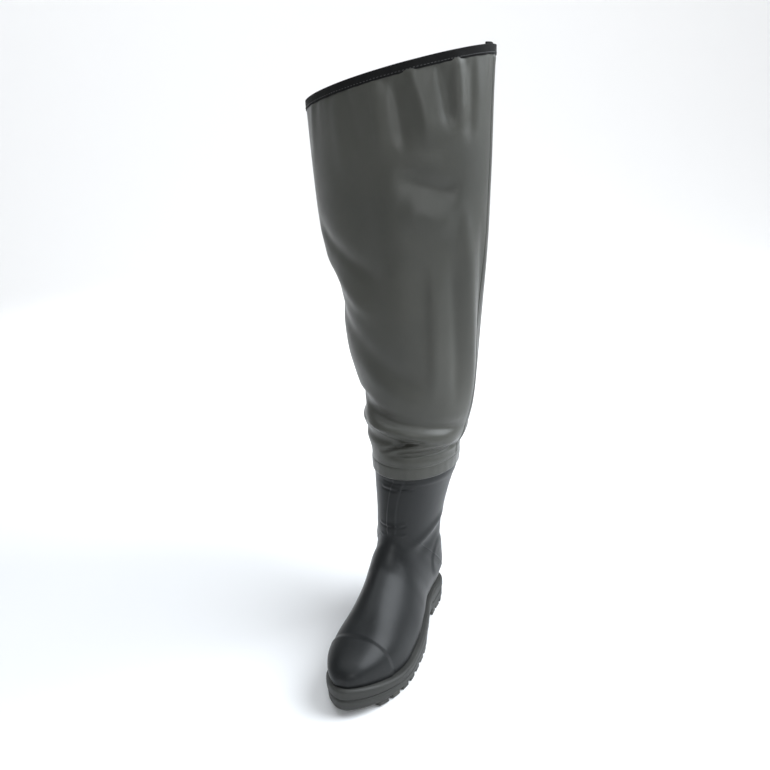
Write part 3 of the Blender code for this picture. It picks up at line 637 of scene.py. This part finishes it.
class Nodes:
    """A short way to build a material: each call adds a node, sets its values and links its inputs."""

    def __init__(self, name):
        self.material = bpy.data.materials.new(name)
        self.material.use_nodes = True
        self.tree = self.material.node_tree
        self.shader = self.tree.nodes["Principled BSDF"]

    def add(self, kind, inputs=None, **settings):
        node = self.tree.nodes.new("ShaderNode" + kind)
        for key, value in settings.items():
            setattr(node, key, value)
        for key, value in (inputs or {}).items():
            self.give(node.inputs[key], value)
        return node

    def give(self, socket, value):
        if isinstance(value, bpy.types.NodeSocket):
            self.tree.links.new(value, socket)
        else:
            socket.default_value = value

    def math(self, operation, a, b):
        return self.add("Math", {0: a, 1: b}, operation=operation).outputs[0]

    def noise(self, place, scale, detail=3.0, rough=0.55):
        inputs = {"Vector": place, "Scale": scale, "Detail": detail, "Roughness": rough}
        return self.add("TexNoise", inputs).outputs[0]

    def spread(self, value, low, high, to_low=0.0, to_high=1.0):
        inputs = {"Value": value, "From Min": low, "From Max": high, "To Min": to_low, "To Max": to_high}
        return self.add("MapRange", inputs).outputs[0]

    def mix(self, share, a, b):
        return self.add("Mix", {0: share, 6: a, 7: b}, data_type="RGBA").outputs[2]

    def bump(self, height, distance, strength=1.0, normal=None):
        inputs = {"Height": height, "Distance": distance, "Strength": strength}
        if normal is not None:
            inputs["Normal"] = normal
        return self.add("Bump", inputs).outputs[0]

    def surface(self, **values):
        for key, value in values.items():
            self.give(self.shader.inputs[key.replace("_", " ")], value)
        return self.material


def weave_height(n, place, pitch):
    """Threads of a plain weave: two crossed trains of waves with the given pitch in metres."""
    across = n.add("SeparateXYZ", {0: place})
    turns = 2 * math.pi / pitch
    warp = n.math("SINE", n.math("MULTIPLY", across.outputs[0], turns), 0.0)
    weft = n.math("SINE", n.math("MULTIPLY", across.outputs[1], turns), 0.0)
    return n.math("MULTIPLY", warp, weft)


def coated_cloth(name="coated_cloth", dark=1.0):
    """Olive-grey nylon under a satin coating: faint weave, cloudy tone and a few soft rubs."""
    n = Nodes(name)
    place = n.add("TexCoord").outputs["Object"]
    flat = n.add("UVMap").outputs[0]
    clouds = n.noise(place, 7.0, 4.0)
    rubs = n.noise(place, 46.0, 5.0, 0.65)
    tone = n.mix(
        n.spread(clouds, 0.35, 0.65),
        (0.030 * dark, 0.0305 * dark, 0.0245 * dark, 1),
        (0.041 * dark, 0.041 * dark, 0.033 * dark, 1),
    )
    tone = n.mix(n.spread(rubs, 0.62, 0.80, 0.0, 0.28), tone, (0.060, 0.062, 0.056, 1))
    threads = weave_height(n, flat, 0.0011)
    grain = n.noise(place, 900.0, 2.0)
    soft = n.bump(n.noise(place, 38.0, 3.0), 0.0016, 0.28)
    fine = n.bump(n.math("ADD", n.math("MULTIPLY", threads, 0.5), grain), 0.00012, 0.35, soft)
    rough = n.math("ADD", n.spread(rubs, 0.3, 0.7, 0.40, 0.50), n.math("MULTIPLY", threads, 0.015))
    return n.surface(
        Base_Color=tone, Roughness=rough, Normal=fine,
        Sheen_Weight=0.12, Sheen_Roughness=0.4, Coat_Weight=0.12, Coat_Roughness=0.32,
    )


def boot_rubber():
    """Green-black moulded rubber: satin skin with a fine grain, a bluish bloom and scuffs low down."""
    n = Nodes("boot_rubber")
    place = n.add("TexCoord").outputs["Object"]
    clouds = n.noise(place, 11.0, 4.0)
    tone = n.mix(n.spread(clouds, 0.35, 0.68), (0.0045, 0.0052, 0.0055, 1), (0.0078, 0.0088, 0.0092, 1))
    stretched = n.add("Mapping", {"Vector": place, "Scale": (3.0, 1.0, 2.2)}).outputs[0]
    scuffs = n.noise(stretched, 34.0, 8.0, 0.7)
    height = n.add("SeparateXYZ", {0: place}).outputs[2]
    low = n.spread(height, 0.02, 0.14, 1.0, 0.25)
    worn = n.math("MULTIPLY", n.spread(scuffs, 0.60, 0.76), low)
    tone = n.mix(n.math("MULTIPLY", worn, 0.35), tone, (0.036, 0.038, 0.037, 1))
    grain = n.noise(place, 1300.0, 3.0)
    swell = n.bump(n.noise(place, 30.0, 2.0), 0.0012, 0.22)
    fine = n.bump(n.math("ADD", grain, n.math("MULTIPLY", scuffs, 0.6)), 0.00010, 0.4, swell)
    rough = n.math("ADD", n.spread(clouds, 0.3, 0.7, 0.36, 0.46), n.math("MULTIPLY", worn, 0.14))
    return n.surface(
        Base_Color=tone, Roughness=rough, Normal=fine,
        Specular_IOR_Level=0.27, Coat_Weight=0.06, Coat_Roughness=0.25,
    )


def sole_rubber():
    """Matt, faintly olive rubber, dusty where it meets the ground."""
    n = Nodes("sole_rubber")
    place = n.add("TexCoord").outputs["Object"]
    clouds = n.noise(place, 24.0, 5.0, 0.6)
    tone = n.mix(n.spread(clouds, 0.35, 0.65), (0.015, 0.0155, 0.0135, 1), (0.024, 0.0245, 0.0215, 1))
    height = n.add("SeparateXYZ", {0: place}).outputs[2]
    dust = n.math("MULTIPLY", n.spread(height, 0.0, 0.012, 0.5, 0.0), n.spread(clouds, 0.45, 0.7))
    tone = n.mix(dust, tone, (0.17, 0.16, 0.13, 1))
    grain = n.noise(place, 700.0, 4.0)
    fine = n.bump(grain, 0.00018, 0.5)
    return n.surface(Base_Color=tone, Roughness=n.spread(clouds, 0.3, 0.7, 0.50, 0.64), Normal=fine)


def black_tape():
    """Black ribbed tape: fine ribs along it, with a little fuzz."""
    n = Nodes("black_tape")
    flat = n.add("UVMap").outputs[0]
    place = n.add("TexCoord").outputs["Object"]
    ribs = weave_height(n, flat, 0.0016)
    fuzz = n.noise(place, 800.0, 3.0)
    tone = n.mix(n.spread(fuzz, 0.4, 0.7), (0.003, 0.003, 0.003, 1), (0.007, 0.007, 0.007, 1))
    fine = n.bump(n.math("ADD", ribs, n.math("MULTIPLY", fuzz, 0.4)), 0.0002, 0.6)
    return n.surface(
        Base_Color=tone, Roughness=0.7, Normal=fine, Specular_IOR_Level=0.12, Sheen_Weight=0.03,
    )


def insole_felt():
    """Grey needled felt."""
    n = Nodes("insole_felt")
    place = n.add("TexCoord").outputs["Object"]
    fibres = n.noise(place, 420.0, 6.0, 0.75)
    tone = n.mix(n.spread(fibres, 0.35, 0.65), (0.10, 0.10, 0.095, 1), (0.21, 0.21, 0.20, 1))
    return n.surface(Base_Color=tone, Roughness=0.95, Normal=n.bump(fibres, 0.0006, 0.8), Sheen_Weight=0.4)


def thread_black():
    """Black twisted thread."""
    n = Nodes("thread_black")
    place = n.add("TexCoord").outputs["Object"]
    twist = n.noise(place, 1500.0, 2.0)
    tone = n.mix(twist, (0.02, 0.02, 0.02, 1), (0.05, 0.05, 0.05, 1))
    return n.surface(Base_Color=tone, Roughness=0.55)


# The boot


def crease_rise(y, z, lateral, medial):
    """How far the creases of the ankle stand out: each is a bell across a straight line in the side
    view, which fades towards both ends."""
    out = np.zeros_like(y)
    for y_a, z_a, y_b, z_b, width, rise, hand in ANKLE_CREASES:
        run = np.array([y_b - y_a, z_b - z_a])
        length = np.hypot(*run)
        along = ((y - y_a) * run[0] + (z - z_a) * run[1]) / length**2
        away = ((y - y_a) * run[1] - (z - z_a) * run[0]) / length
        held = np.clip(along, 0, 1)
        away = np.hypot(away, (along - held) * length)
        fade = smooth(held, *CREASE_FADE) * smooth(1 - held, *CREASE_FADE)
        out += rise * bell(away, width) * fade * (lateral if hand > 0 else medial)
    return out


def boot_relief(rows, across, points):
    """Height of the moulding's raised forms above the plain boot, in millimetres, as a sum. Toe cap, shin
    spine and kick spur are soft steps, a flex bar is a trough with a ridge above it, and an ankle guard
    is an oval step with soft rings. The creases of the ankle come on top."""
    y, z = points[..., 1], points[..., 2]
    lateral, medial = smooth(across, 0.52, 0.60), smooth(1 - across, 0.52, 0.60)
    cap = CAP_STEP * smooth(CAP_ROW - rows, -CAP_SOFT, CAP_SOFT)
    cap += CAP_BEAD * bell(rows - CAP_BEAD_ROW, CAP_BEAD_WIDTH)
    off = (across - 0.5) * np.interp(rows[:, 0], *SHAFT_GIRTHS)[:, None]
    shin = smooth(rows, *SPINE_FOOT) * (1 - smooth(rows, *SPINE_HEAD))
    spine = SPINE_STEP * smooth(SPINE_WIDTH / 2 - np.abs(off), -SPINE_SOFT, SPINE_SOFT) * shin
    reach = smooth(BAR_REACH - np.abs(off), 0, 5) * shin
    bars = np.zeros_like(spine)
    for height in BAR_HEIGHTS:
        bars -= BAR_TROUGH * bell(z - height, 1.8) * reach
        bars += BAR_RIDGE * bell(z - height - BAR_SPACING, 2.0) * reach
    spread = np.hypot(y - ANKLE_BACK, (z - ANKLE_RISE) / GUARD_TALL)
    guard = GUARD_STEP * smooth(GUARD_RADIUS - spread, -GUARD_SOFT, GUARD_SOFT)
    for radius in RING_RADII:
        guard += RING_RISE * bell(spread - radius, 3.0) * smooth(y - ANKLE_BACK, -14, 4)
    guard = guard * (lateral + medial)
    spur = SPUR_STEP * smooth(SPUR_TOP - z, -1.2, 1.2) * smooth(z - SPUR_FOOT, -1, 6) * smooth(y, 22, 34)
    return cap + spine + bars + guard + crease_rise(y, z, lateral, medial) + spur


def make_boot(material):
    """The moulded boot: its outer face with the raised forms, carried over the top edge and back down
    inside the wall on every second line, and closed along the feather line."""
    rows = np.unique(np.concatenate([
        np.linspace(0, 1, 10),
        np.linspace(1, FIRST_CLOSED, BOOT_ROWS // 2),
        np.linspace(FIRST_CLOSED, BOOT_TOP, BOOT_ROWS // 2 - 10),
        np.linspace(CAP_ROW - 0.35, CAP_ROW + 0.35, 22),
    ]))
    rows = rows[: len(rows) // 2 * 2 - 1]
    rows[-1] = BOOT_TOP
    grid_rows, grid_across = np.meshgrid(rows, np.linspace(0, 1, BOOT_COLUMNS + 1), indexing="ij")
    base, out = boot_surface(grid_rows, grid_across), boot_normals(grid_rows, grid_across)
    outer = base + out * boot_relief(grid_rows, grid_across, base)[..., None]
    deep = BOOT_WALL * np.clip(rows / 2, 0.15, 1)[:, None, None]
    inner = (base - out * deep)[::2]
    wall = np.concatenate([outer, inner[::-1]])
    total, count = wall.shape[:2]
    faces = quads(total, count, flip=True).tolist()
    for i in range(0, int(np.searchsorted(rows, FIRST_CLOSED)) // 2 * 2, 2):
        low, high = total - 1 - i // 2, total - 2 - i // 2
        for column, turn in ((0, -1), (count - 1, 1)):
            ring = [k * count + column for k in (i, i + 1, i + 2, high, low)]
            faces.append(ring[::turn])
    return put("boot_shell", wall, faces, material, ["boot_upper"])


# The sole and the footbed


def fine_stations():
    """Shares of the sole's length for its fine sections, close at both ends and at the heel breast."""
    heel = (1 - np.cos(np.linspace(0, math.pi / 2, 26))) * SOLE_SIDE[2, 0]
    breast = np.linspace(SOLE_SIDE[2, 0], SOLE_SIDE[3, 0], 5)[1:]
    middle = np.linspace(SOLE_SIDE[3, 0], SOLE_SIDE[6, 0], 22)[1:]
    toe = SOLE_SIDE[6, 0] + np.sin(np.linspace(0, math.pi / 2, 64))[1:] * (1 - SOLE_SIDE[6, 0])
    return np.concatenate([heel, breast, middle, toe])


def make_sole(material):
    """The sole: its outline carried up the edge profile, closed above and below by quads across it."""
    along = fine_stations()
    levels = np.linspace(0, 1, SOLE_LEVELS)
    grooves, lips = (through(EDGE_PROFILE[:, 0], EDGE_PROFILE[:, k], levels) for k in (1, 2))
    loops = []
    for up, groove, lip in zip(levels, grooves, lips):
        inset = groove * SIDE_GROOVE - lip * LEDGE_LIP
        y = plan_y(along, inset)
        centre, half = plan(along, inset)
        _, under, top = side(plan_y(along, 0.0))
        z = under + up * (top - under)
        lateral = np.stack([centre + half, y, z], -1)
        medial = np.stack([centre - half, y, z], -1)
        loops.append(np.concatenate([lateral, medial[-2:0:-1]]))
    loops = np.array(loops)
    count, last = loops.shape[1], len(along) - 1
    faces = quads(len(loops), count, closed_columns=True, flip=True).tolist()
    top_first = (len(loops) - 1) * count
    # Below and above, each step along the sole is one quad from its lateral to its medial edge
    for i in range(last):
        near, far = (count - i) % count, count - i - 1
        faces.append([i, i + 1, far, near] if i else [0, 1, far])
        faces.append([top_first + k for k in ([near, far, i + 1, i] if i else [far, 1, 0])])
    faces = [list(dict.fromkeys(face)) for face in faces]
    faces = [face for face in faces if len(face) > 2]
    return put("sole_body", loops, faces, material, ["outsole"], 50)


def pad_places():
    """Places on the Y axis of the two round pads: under the heel and under the ball."""
    return 0.0, plan_y(BALL_PAD, 0.0)


def lug_ranges():
    """Front and back edge of each pair of lugs, from the heel back to the toe."""
    heel_last = plan_y(SOLE_SIDE[2, 0], 0.0)
    fore_first, toe_last = plan_y(SOLE_SIDE[6, 0], 0.0), plan_y(LAST_LUG, 0.0)
    back = HEEL_BACK - 2 * LUG_INSET
    while back - LUG_LENGTH > heel_last - 1:
        yield back, back - LUG_LENGTH
        back -= HEEL_PITCH
    back = fore_first
    while back - LUG_LENGTH > toe_last:
        yield back, back - LUG_LENGTH
        back -= FORE_PITCH


def add_prism(points, faces, low, high):
    """Adds a closed prism between two rings of places that run against the clock, seen from above."""
    first, count = len(points), len(low)
    points += low + high
    for k in range(count):
        after = (k + 1) % count
        faces.append([first + k, first + after, first + count + after, first + count + k])
    faces.append([first + k for k in reversed(range(count))])
    faces.append([first + count + k for k in range(count)])


def make_lugs(material):
    """Pairs of lugs from the sole's edge to the channel, and the two round pads that it stands on. Each
    is a prism let into the sole, with its edges rounded by a bevel."""
    points, faces = [], []
    for back, front in lug_ranges():
        beside = any(abs((back + front) / 2 - y) < PAD_RADIUS + LUG_LENGTH / 2 for y in pad_places())
        inner = CHANNEL + (PAD_RADIUS if beside else 0)
        y = np.linspace(back, front, 6)
        ground, under, _ = side(y)
        centre, half = plan((HEEL_BACK - LUG_INSET - y) / (FOOT_LENGTH - 2 * LUG_INSET), LUG_INSET)
        outer = np.maximum(half, inner + LUG_LENGTH / 4)
        for hand in (-1, 1):
            rings = []
            for z in (ground, under + EMBED):
                ring = list(zip(centre + hand * inner, y, z))
                ring += list(zip(centre + hand * outer, y, z))[::-1]
                rings.append(ring[::hand])
            add_prism(points, faces, *rings)
    turn = 2 * math.pi * np.arange(PAD_SIDES) / PAD_SIDES
    for y in pad_places():
        centre = float(plan(np.array((HEEL_BACK - y) / FOOT_LENGTH), 0.0)[0])
        height = float(side(np.array(y))[1]) + EMBED
        circle = centre + PAD_RADIUS * np.cos(turn), y + PAD_RADIUS * np.sin(turn)
        add_prism(points, faces, *(list(zip(*circle, 0 * turn + z)) for z in (0.0, height)))
    lugs = put("tread_lugs", np.array(points), faces, material)
    bevel = lugs.modifiers.new("Edges", "BEVEL")
    bevel.width = LUG_BEVEL * MM
    bevel.segments = 2
    bevel.limit_method = "ANGLE"
    bevel.angle_limit = math.radians(50)
    return lugs


def make_insole(material):
    """A felt footbed: each section across it is a flat superellipse that thins to nothing at the ends."""
    inset = FEATHER_INSET + BOOT_WALL + INSOLE_CLEAR
    along = (1 - np.cos(np.linspace(0, math.pi, INSOLE_ROWS))) / 2
    y = plan_y(along, inset)
    centre, half = plan(along, inset)
    base = side(y)[2] + SEAT_GAP
    turn = 2 * math.pi * np.arange(INSOLE_COLUMNS) / INSOLE_COLUMNS
    cosine, sine = np.cos(turn), np.sin(turn)
    flat = np.sign(cosine) * np.abs(cosine) ** 0.25
    tall = np.sign(sine) * np.abs(sine) ** 0.45
    thick = INSOLE_THICK / 2 * np.clip(half / half.max() * 8, 0, 1) ** 0.5
    x = centre[:, None] + half[:, None] * flat
    z = (base + INSOLE_THICK / 2)[:, None] + thick[:, None] * tall
    points = np.stack([x, y[:, None] + 0 * x, z], -1)
    faces = quads(INSOLE_ROWS, INSOLE_COLUMNS, closed_columns=True, flip=True)
    return put("footbed", points, faces, material, ["insole"])


# The leg, its bands and tapes


def leg_rises():
    """Shares of the way up the leg for its rows, closer over the boot's cuff."""
    low = np.linspace(0, 0.30, LEG_LOW_ROWS)
    high = np.linspace(0.30, 1, LEG_HIGH_ROWS)[1:]
    return np.concatenate([low, high])


def make_leg(material):
    """The cloth leg: its outer face over the rim and back down inside, on every fifth line."""
    turn = np.arange(LEG_COLUMNS) / LEG_COLUMNS
    rise = leg_rises()
    outer = leg_face(turn, rise)
    inward = grid_normals(outer, True)
    inner = (outer - inward * LEG_WALL)[::INNER_STEP][::-1]
    points = np.concatenate([outer, inner])
    girth = GIRTHS[1].mean()
    height = np.concatenate([rise, rise[::INNER_STEP][::-1]])[:, None] * RIM_HIGH
    uv = np.stack([turn[None, :] * girth + 0 * height, height + 0 * turn], -1)
    faces = quads(len(points), LEG_COLUMNS, closed_rows=True, closed_columns=True)
    return put("cloth_leg", points, faces, material, ["leg"], uv=uv)


def rim_frame(turn):
    """Places on the rim, their sideways normals and the way down the cloth from them."""
    rows = leg_face(turn, np.array([0.94, 0.97, 1.0]))
    rim = rows[-1]
    over = np.roll(rim, -1, 0) - np.roll(rim, 1, 0)
    out = np.stack([over[:, 1], -over[:, 0], np.zeros(len(rim))], -1)
    out /= np.linalg.norm(out, axis=1, keepdims=True)
    down = rows[0] - rim
    down /= np.linalg.norm(down, axis=1, keepdims=True)
    return rim, out, down


def make_binding(material):
    """A tape folded over the rim: a rounded U section, its lower edges a little wavy where it gathers.
    The section's points are steps out and down from the rim: over it, down inside it, back up to a
    smaller arc, and down and up again outside it."""
    turn = np.arange(BINDING_COLUMNS) / BINDING_COLUMNS
    rim, out, down = rim_frame(turn)
    drop = BINDING_HEIGHT
    half = LEG_WALL / 2 + GAP
    thick = BINDING_THICK
    arc = np.linspace(0, math.pi, 9)
    middle = -LEG_WALL / 2
    crest = -GAP - thick * 0.3
    section = [(middle + (half + thick) * math.cos(a), crest - thick * 0.8 * math.sin(a)) for a in arc]
    down_steps = np.linspace(0.15, 1, 6)
    section += [(middle - half - thick, drop * s) for s in down_steps]
    section += [(middle - half, drop), (middle - half, drop * 0.5)]
    section += [(middle + half * math.cos(a), -GAP * 0.6 * math.sin(a)) for a in arc[::-1]]
    section += [(middle + half, drop * 0.5), (middle + half, drop)]
    section += [(middle + half + thick, drop * s) for s in down_steps[::-1]]
    draw = np.random.default_rng(3)
    waves = sum(
        draw.uniform(0.1, 0.3) * np.sin(2 * math.pi * (k * turn + draw.uniform())) for k in BINDING_WAVES
    )
    rows = []
    for s, d in section:
        ripple = BINDING_RIPPLE * max(d, 0) / drop * waves[:, None]
        rows.append(rim + out * (s + (ripple if s > middle else -ripple)) + down * (d + ripple))
    rows = np.array(rows)
    lengths = np.cumsum([0] + [math.dist(a, b) for a, b in zip(section, section[1:])])
    uv = np.stack([turn[None, :] * GIRTHS[1][-1] + 0 * lengths[:, None], lengths[:, None] + 0 * turn], -1)
    faces = quads(len(rows), len(turn), closed_rows=True, closed_columns=True)
    return put("rim_binding", rows, faces, material, ["top_binding"], uv=uv)


def stitch_run(name, places, normals, ways, length, width, material):
    """A row of stitches joined into one mesh: each is a small rounded bar along its own way."""
    turn = 2 * math.pi * np.arange(6) / 6
    along = np.array([-1.0, -0.7, 0.7, 1.0]) * length / 2
    swell = np.array([0.35, 1.0, 1.0, 0.35]) * width / 2
    sides = np.cross(ways, normals)
    points = (
        places[:, None, None]
        + ways[:, None, None] * along[None, :, None, None]
        + sides[:, None, None] * (swell[:, None] * np.cos(turn))[None, ..., None]
        + normals[:, None, None] * (swell[:, None] * np.sin(turn) * 0.8)[None, ..., None]
    )
    one = quads(4, 6, closed_columns=True, flip=True).tolist() + [list(range(6)), list(range(23, 17, -1))]
    faces = [[24 * k + corner for corner in face] for k in range(len(places)) for face in one]
    return put(name, points, faces, material)


def make_binding_stitches(material):
    """A row of stitches along the lower edge of the binding, outside, and one inside."""
    turn = (np.arange(STITCHES) + 0.5) / STITCHES
    rim, out, down = rim_frame(turn)
    way = np.roll(rim, -1, 0) - np.roll(rim, 1, 0)
    way /= np.linalg.norm(way, axis=1, keepdims=True)
    line = rim + down * (BINDING_HEIGHT - STITCH_INSET)
    reach = GAP + BINDING_THICK + 0.05
    places = np.concatenate([line + out * reach, line - out * (reach + LEG_WALL)])
    normals, ways = np.concatenate([out, -out]), np.tile(way, (2, 1))
    return stitch_run(
        "binding_stitches", places, normals, ways, STITCH_LENGTH, STITCH_WIDTH, material
    )


def make_hem(material):
    """A tape round the bottom of the leg: a flat rounded section with a soft ripple, the sum of two
    waves round the leg."""
    turn = np.arange(HEM_COLUMNS) / HEM_COLUMNS
    heights = np.linspace(0, HEM_BAND_HEIGHT, 16)
    total = leg_base(turn, np.array([0.0, 1.0]))[..., 2].mean(1)
    base = leg_face(turn, heights / (total[1] - total[0]))
    out = grid_normals(base, True)
    edge = np.clip(np.minimum(heights / 1.2, (HEM_BAND_HEIGHT - heights) / 7.0), 0, 1)[:, None]
    ripple = 0.25 * np.sin(2 * math.pi * (19 * turn + 0.2)) + 0.2 * np.sin(2 * math.pi * (33 * turn + 0.6))
    lift = 0.05 + (HEM_BAND_THICK + HEM_RIPPLE * ripple) * np.sqrt(1 - (1 - edge) ** 2)
    outer = base + out * lift[..., None]
    inner = base - out * TAPE_SINK
    points = np.concatenate([outer, inner[::-1]])
    girth = GIRTHS[1][0]
    height = np.concatenate([heights, heights[::-1]])[:, None]
    uv = np.stack([turn[None, :] * girth + 0 * height, height + 0 * turn], -1)
    faces = quads(len(points), len(turn), closed_rows=True, closed_columns=True)
    return put("hem_tape", points, faces, material, ["hem_band"], uv=uv)


def make_seam(name, middle, node, material):
    """A welded tape down one side of the leg: a flat strip with thin edges that follows the folds."""
    span = np.linspace(-1, 1, SEAM_COLUMNS)
    full = leg_base(np.array([middle]), np.array([0.0, 1.0]))[:, 0, 2]
    low = (HEM_BAND_HEIGHT + SEAM_HEM_GAP) / (full[1] - full[0])
    high = 1 - (BINDING_HEIGHT + SEAM_RIM_GAP) / (full[1] - full[0])
    rise = low + (high - low) * np.linspace(0, 1, SEAM_ROWS)
    widest = SEAM_WIDTH / 2 / GIRTHS[1]
    share = np.interp(rise, np.linspace(0, 1, len(widest)), widest)
    sheet = leg_face(middle + span * share.max(), rise)
    out = grid_normals(sheet, False)
    line = sheet[:, SEAM_COLUMNS // 2][:, None]
    sheet = line + (sheet - line) * (share / share.max())[:, None, None]
    crown = SEAM_THICK * (1 - np.abs(span) ** 6)[None, :, None]
    ends = smooth(np.minimum(rise - rise[0], rise[-1] - rise), 0, 0.004)[:, None, None]
    ridge = SEAM_RIDGE * bell(span * SEAM_WIDTH / 2, 0.8)[None, :, None]
    outer = sheet + out * (0.08 + (crown + ridge) * ends)
    inner = sheet - out * TAPE_SINK
    points = np.concatenate([outer, inner[:, ::-1]], 1)
    across = np.concatenate([span, span[::-1]]) * SEAM_WIDTH / 2
    uv = np.stack([across[None, :] + 0 * rise[:, None], rise[:, None] * RIM_HIGH + 0 * across], -1)
    around = 2 * SEAM_COLUMNS
    faces = quads(SEAM_ROWS, around, closed_columns=True).tolist()
    end = [[k, k + 1, around - 2 - k, around - 1 - k] for k in range(SEAM_COLUMNS - 1)]
    top = (SEAM_ROWS - 1) * around
    faces += [face[::-1] for face in end] + [[top + k for k in face] for face in end]
    return put(name, points, faces, material, [node], uv=uv)


def make_belt_tab(material):
    """A strip of webbing folded double inside the outer peak of the rim, its fold standing above it: a
    sheet carried up, round a half circle and down again, thickened afterwards."""
    span = np.linspace(-0.5, 0.5, TAB_COLUMNS)
    low, rim = leg_face(0.75 + span * TAB_WIDTH / GIRTHS[1][-1], np.array([0.90, 1.0]))
    over = np.gradient(rim, axis=0)
    out = np.stack([over[:, 1], -over[:, 0], np.zeros(TAB_COLUMNS)], -1)
    out /= np.linalg.norm(out, axis=1, keepdims=True)
    down = (low - rim) / np.linalg.norm(low - rim, axis=1, keepdims=True)
    layer = TAB_THICK / 2
    middle = -LEG_WALL - BINDING_THICK - 2 * GAP - layer
    path = [(middle + layer * TAB_SPREAD, TAB_DROP * s) for s in np.linspace(1, 0, TAB_ROWS)]
    for a in np.linspace(0, math.pi, 11):
        wide = layer * (TAB_SPREAD + 0.1 * math.sin(a))
        path.append((middle + wide * math.cos(a), -TAB_STAND - layer * math.sin(a)))
    path += [(middle - layer * TAB_SPREAD, TAB_DROP * s) for s in np.linspace(0, 1, TAB_ROWS)]
    sheet = np.array([rim + out * s + down * d for s, d in path])
    lengths = np.cumsum([0] + [math.dist(a, b) for a, b in zip(path, path[1:])])
    uv = np.stack([span[None, :] * TAB_WIDTH + 0 * lengths[:, None], lengths[:, None] + 0 * span], -1)
    faces = quads(len(path), TAB_COLUMNS, flip=True)
    tab = put("webbing_tab", sheet, faces, material, ["belt_tab"], uv=uv)
    wall = tab.modifiers.new("Wall", "SOLIDIFY")
    wall.thickness = 1.0 * MM
    wall.offset = 0
    edges = tab.modifiers.new("Edges", "BEVEL")
    edges.width = 0.25 * MM
    edges.segments = 2
    edges.limit_method = "ANGLE"
    return tab


# Floor, camera and lights


def make_floor():
    """A plain pale floor, flat out to its cove and then curving up all round as a quarter circle."""
    n = Nodes("pale_floor")
    n.surface(Base_Color=(0.90, 0.90, 0.90, 1), Roughness=0.8)
    arc = np.linspace(0, math.pi / 2, 24)
    reach = np.concatenate([np.linspace(0.01, FLOOR_REACH, 30), FLOOR_REACH + COVE * np.sin(arc[1:])])
    rise = np.concatenate([np.zeros(30), COVE * (1 - np.cos(arc[1:]))])[:, None]
    turn = 2 * math.pi * np.arange(FLOOR_COLUMNS) / FLOOR_COLUMNS
    x, y = reach[:, None] * np.cos(turn), reach[:, None] * np.sin(turn)
    points = np.stack([x, y, rise + 0 * turn], -1)
    mesh = bpy.data.meshes.new("pale_floor")
    faces = quads(len(reach), FLOOR_COLUMNS, closed_columns=True, flip=True).tolist()
    faces.append(list(range(FLOOR_COLUMNS)))
    mesh.from_pydata(points.reshape(-1, 3).tolist(), [], faces)
    mesh.shade_smooth()
    mesh.materials.append(n.material)
    floor = bpy.data.objects.new("pale_floor", mesh)
    bpy.context.scene.collection.objects.link(floor)


def make_camera():
    """The photograph's camera: its place, and its facing, pitch and roll as a rotation."""
    facing = Vector((*CAMERA_FACING, 0)).normalized()
    down = math.radians(CAMERA_DOWN)
    forward = facing * math.cos(down) - Vector((0, 0, 1)) * math.sin(down)
    up = facing * math.sin(down) + Vector((0, 0, 1)) * math.cos(down)
    right = forward.cross(up)
    turned = Matrix((right, up, -forward)).transposed().to_4x4()
    turned = turned @ Matrix.Rotation(math.radians(CAMERA_ROLL), 4, "Z")
    aim = (Vector(CAMERA_AIM) - Vector(CAMERA_PLACE)).normalized()
    turned = forward.rotation_difference(aim).to_matrix().to_4x4() @ turned
    lens = bpy.data.cameras.new("photo_camera")
    lens.lens = CAMERA_LENS
    lens.sensor_width = SENSOR
    lens.sensor_fit = "HORIZONTAL"
    lens.clip_start = 0.01
    camera = bpy.data.objects.new("photo_camera", lens)
    camera.matrix_world = Matrix.Translation(CAMERA_PLACE) @ turned
    bpy.context.scene.collection.objects.link(camera)
    bpy.context.scene.camera = camera


def add_light(name, place, aim, size, power, colour):
    """A round area light that faces the place it is aimed at."""
    lamp = bpy.data.lights.new(name, "AREA")
    lamp.shape = "DISK"
    lamp.size = size
    lamp.energy = power
    lamp.color = colour
    light = bpy.data.objects.new(name, lamp)
    way = Vector(aim) - Vector(place)
    light.matrix_world = Matrix.Translation(place) @ way.to_track_quat("-Z", "Y").to_matrix().to_4x4()
    bpy.context.scene.collection.objects.link(light)


def make_lights():
    """Soft studio light: a dim surround, a wide cool key above the outer side, a weaker light overhead, a
    small one in front, and one that turns away from the wader to light the backdrop."""
    world = bpy.data.worlds.new("studio")
    world.use_nodes = True
    surround = world.node_tree.nodes["Background"]
    surround.inputs["Color"].default_value = SURROUND_COLOUR
    surround.inputs["Strength"].default_value = SURROUND_STRENGTH
    bpy.context.scene.world = world
    bpy.context.scene.view_settings.view_transform = "Standard"
    for light in LIGHTS:
        add_light(*light)


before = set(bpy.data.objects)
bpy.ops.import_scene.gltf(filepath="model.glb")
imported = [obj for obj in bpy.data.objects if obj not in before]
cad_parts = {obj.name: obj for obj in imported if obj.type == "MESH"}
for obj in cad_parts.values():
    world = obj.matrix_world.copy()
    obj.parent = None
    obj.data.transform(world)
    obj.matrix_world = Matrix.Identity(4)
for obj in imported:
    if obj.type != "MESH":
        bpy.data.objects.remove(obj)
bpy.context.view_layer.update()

cloth, rubber, tread = coated_cloth(), boot_rubber(), sole_rubber()
tape, felt, thread = black_tape(), insole_felt(), thread_black()
hem_cloth = coated_cloth("hem_cloth", 0.97)

make_camera()
make_lights()
make_floor()
make_boot(rubber)
make_sole(tread)
make_lugs(tread)
make_insole(felt)
make_leg(cloth)
make_hem(hem_cloth)
make_seam("inner_tape", 0.25, "inner_seam", hem_cloth)
make_seam("outer_tape", 0.75, "outer_seam", hem_cloth)
make_binding(tape)
make_binding_stitches(thread)
make_belt_tab(tape)
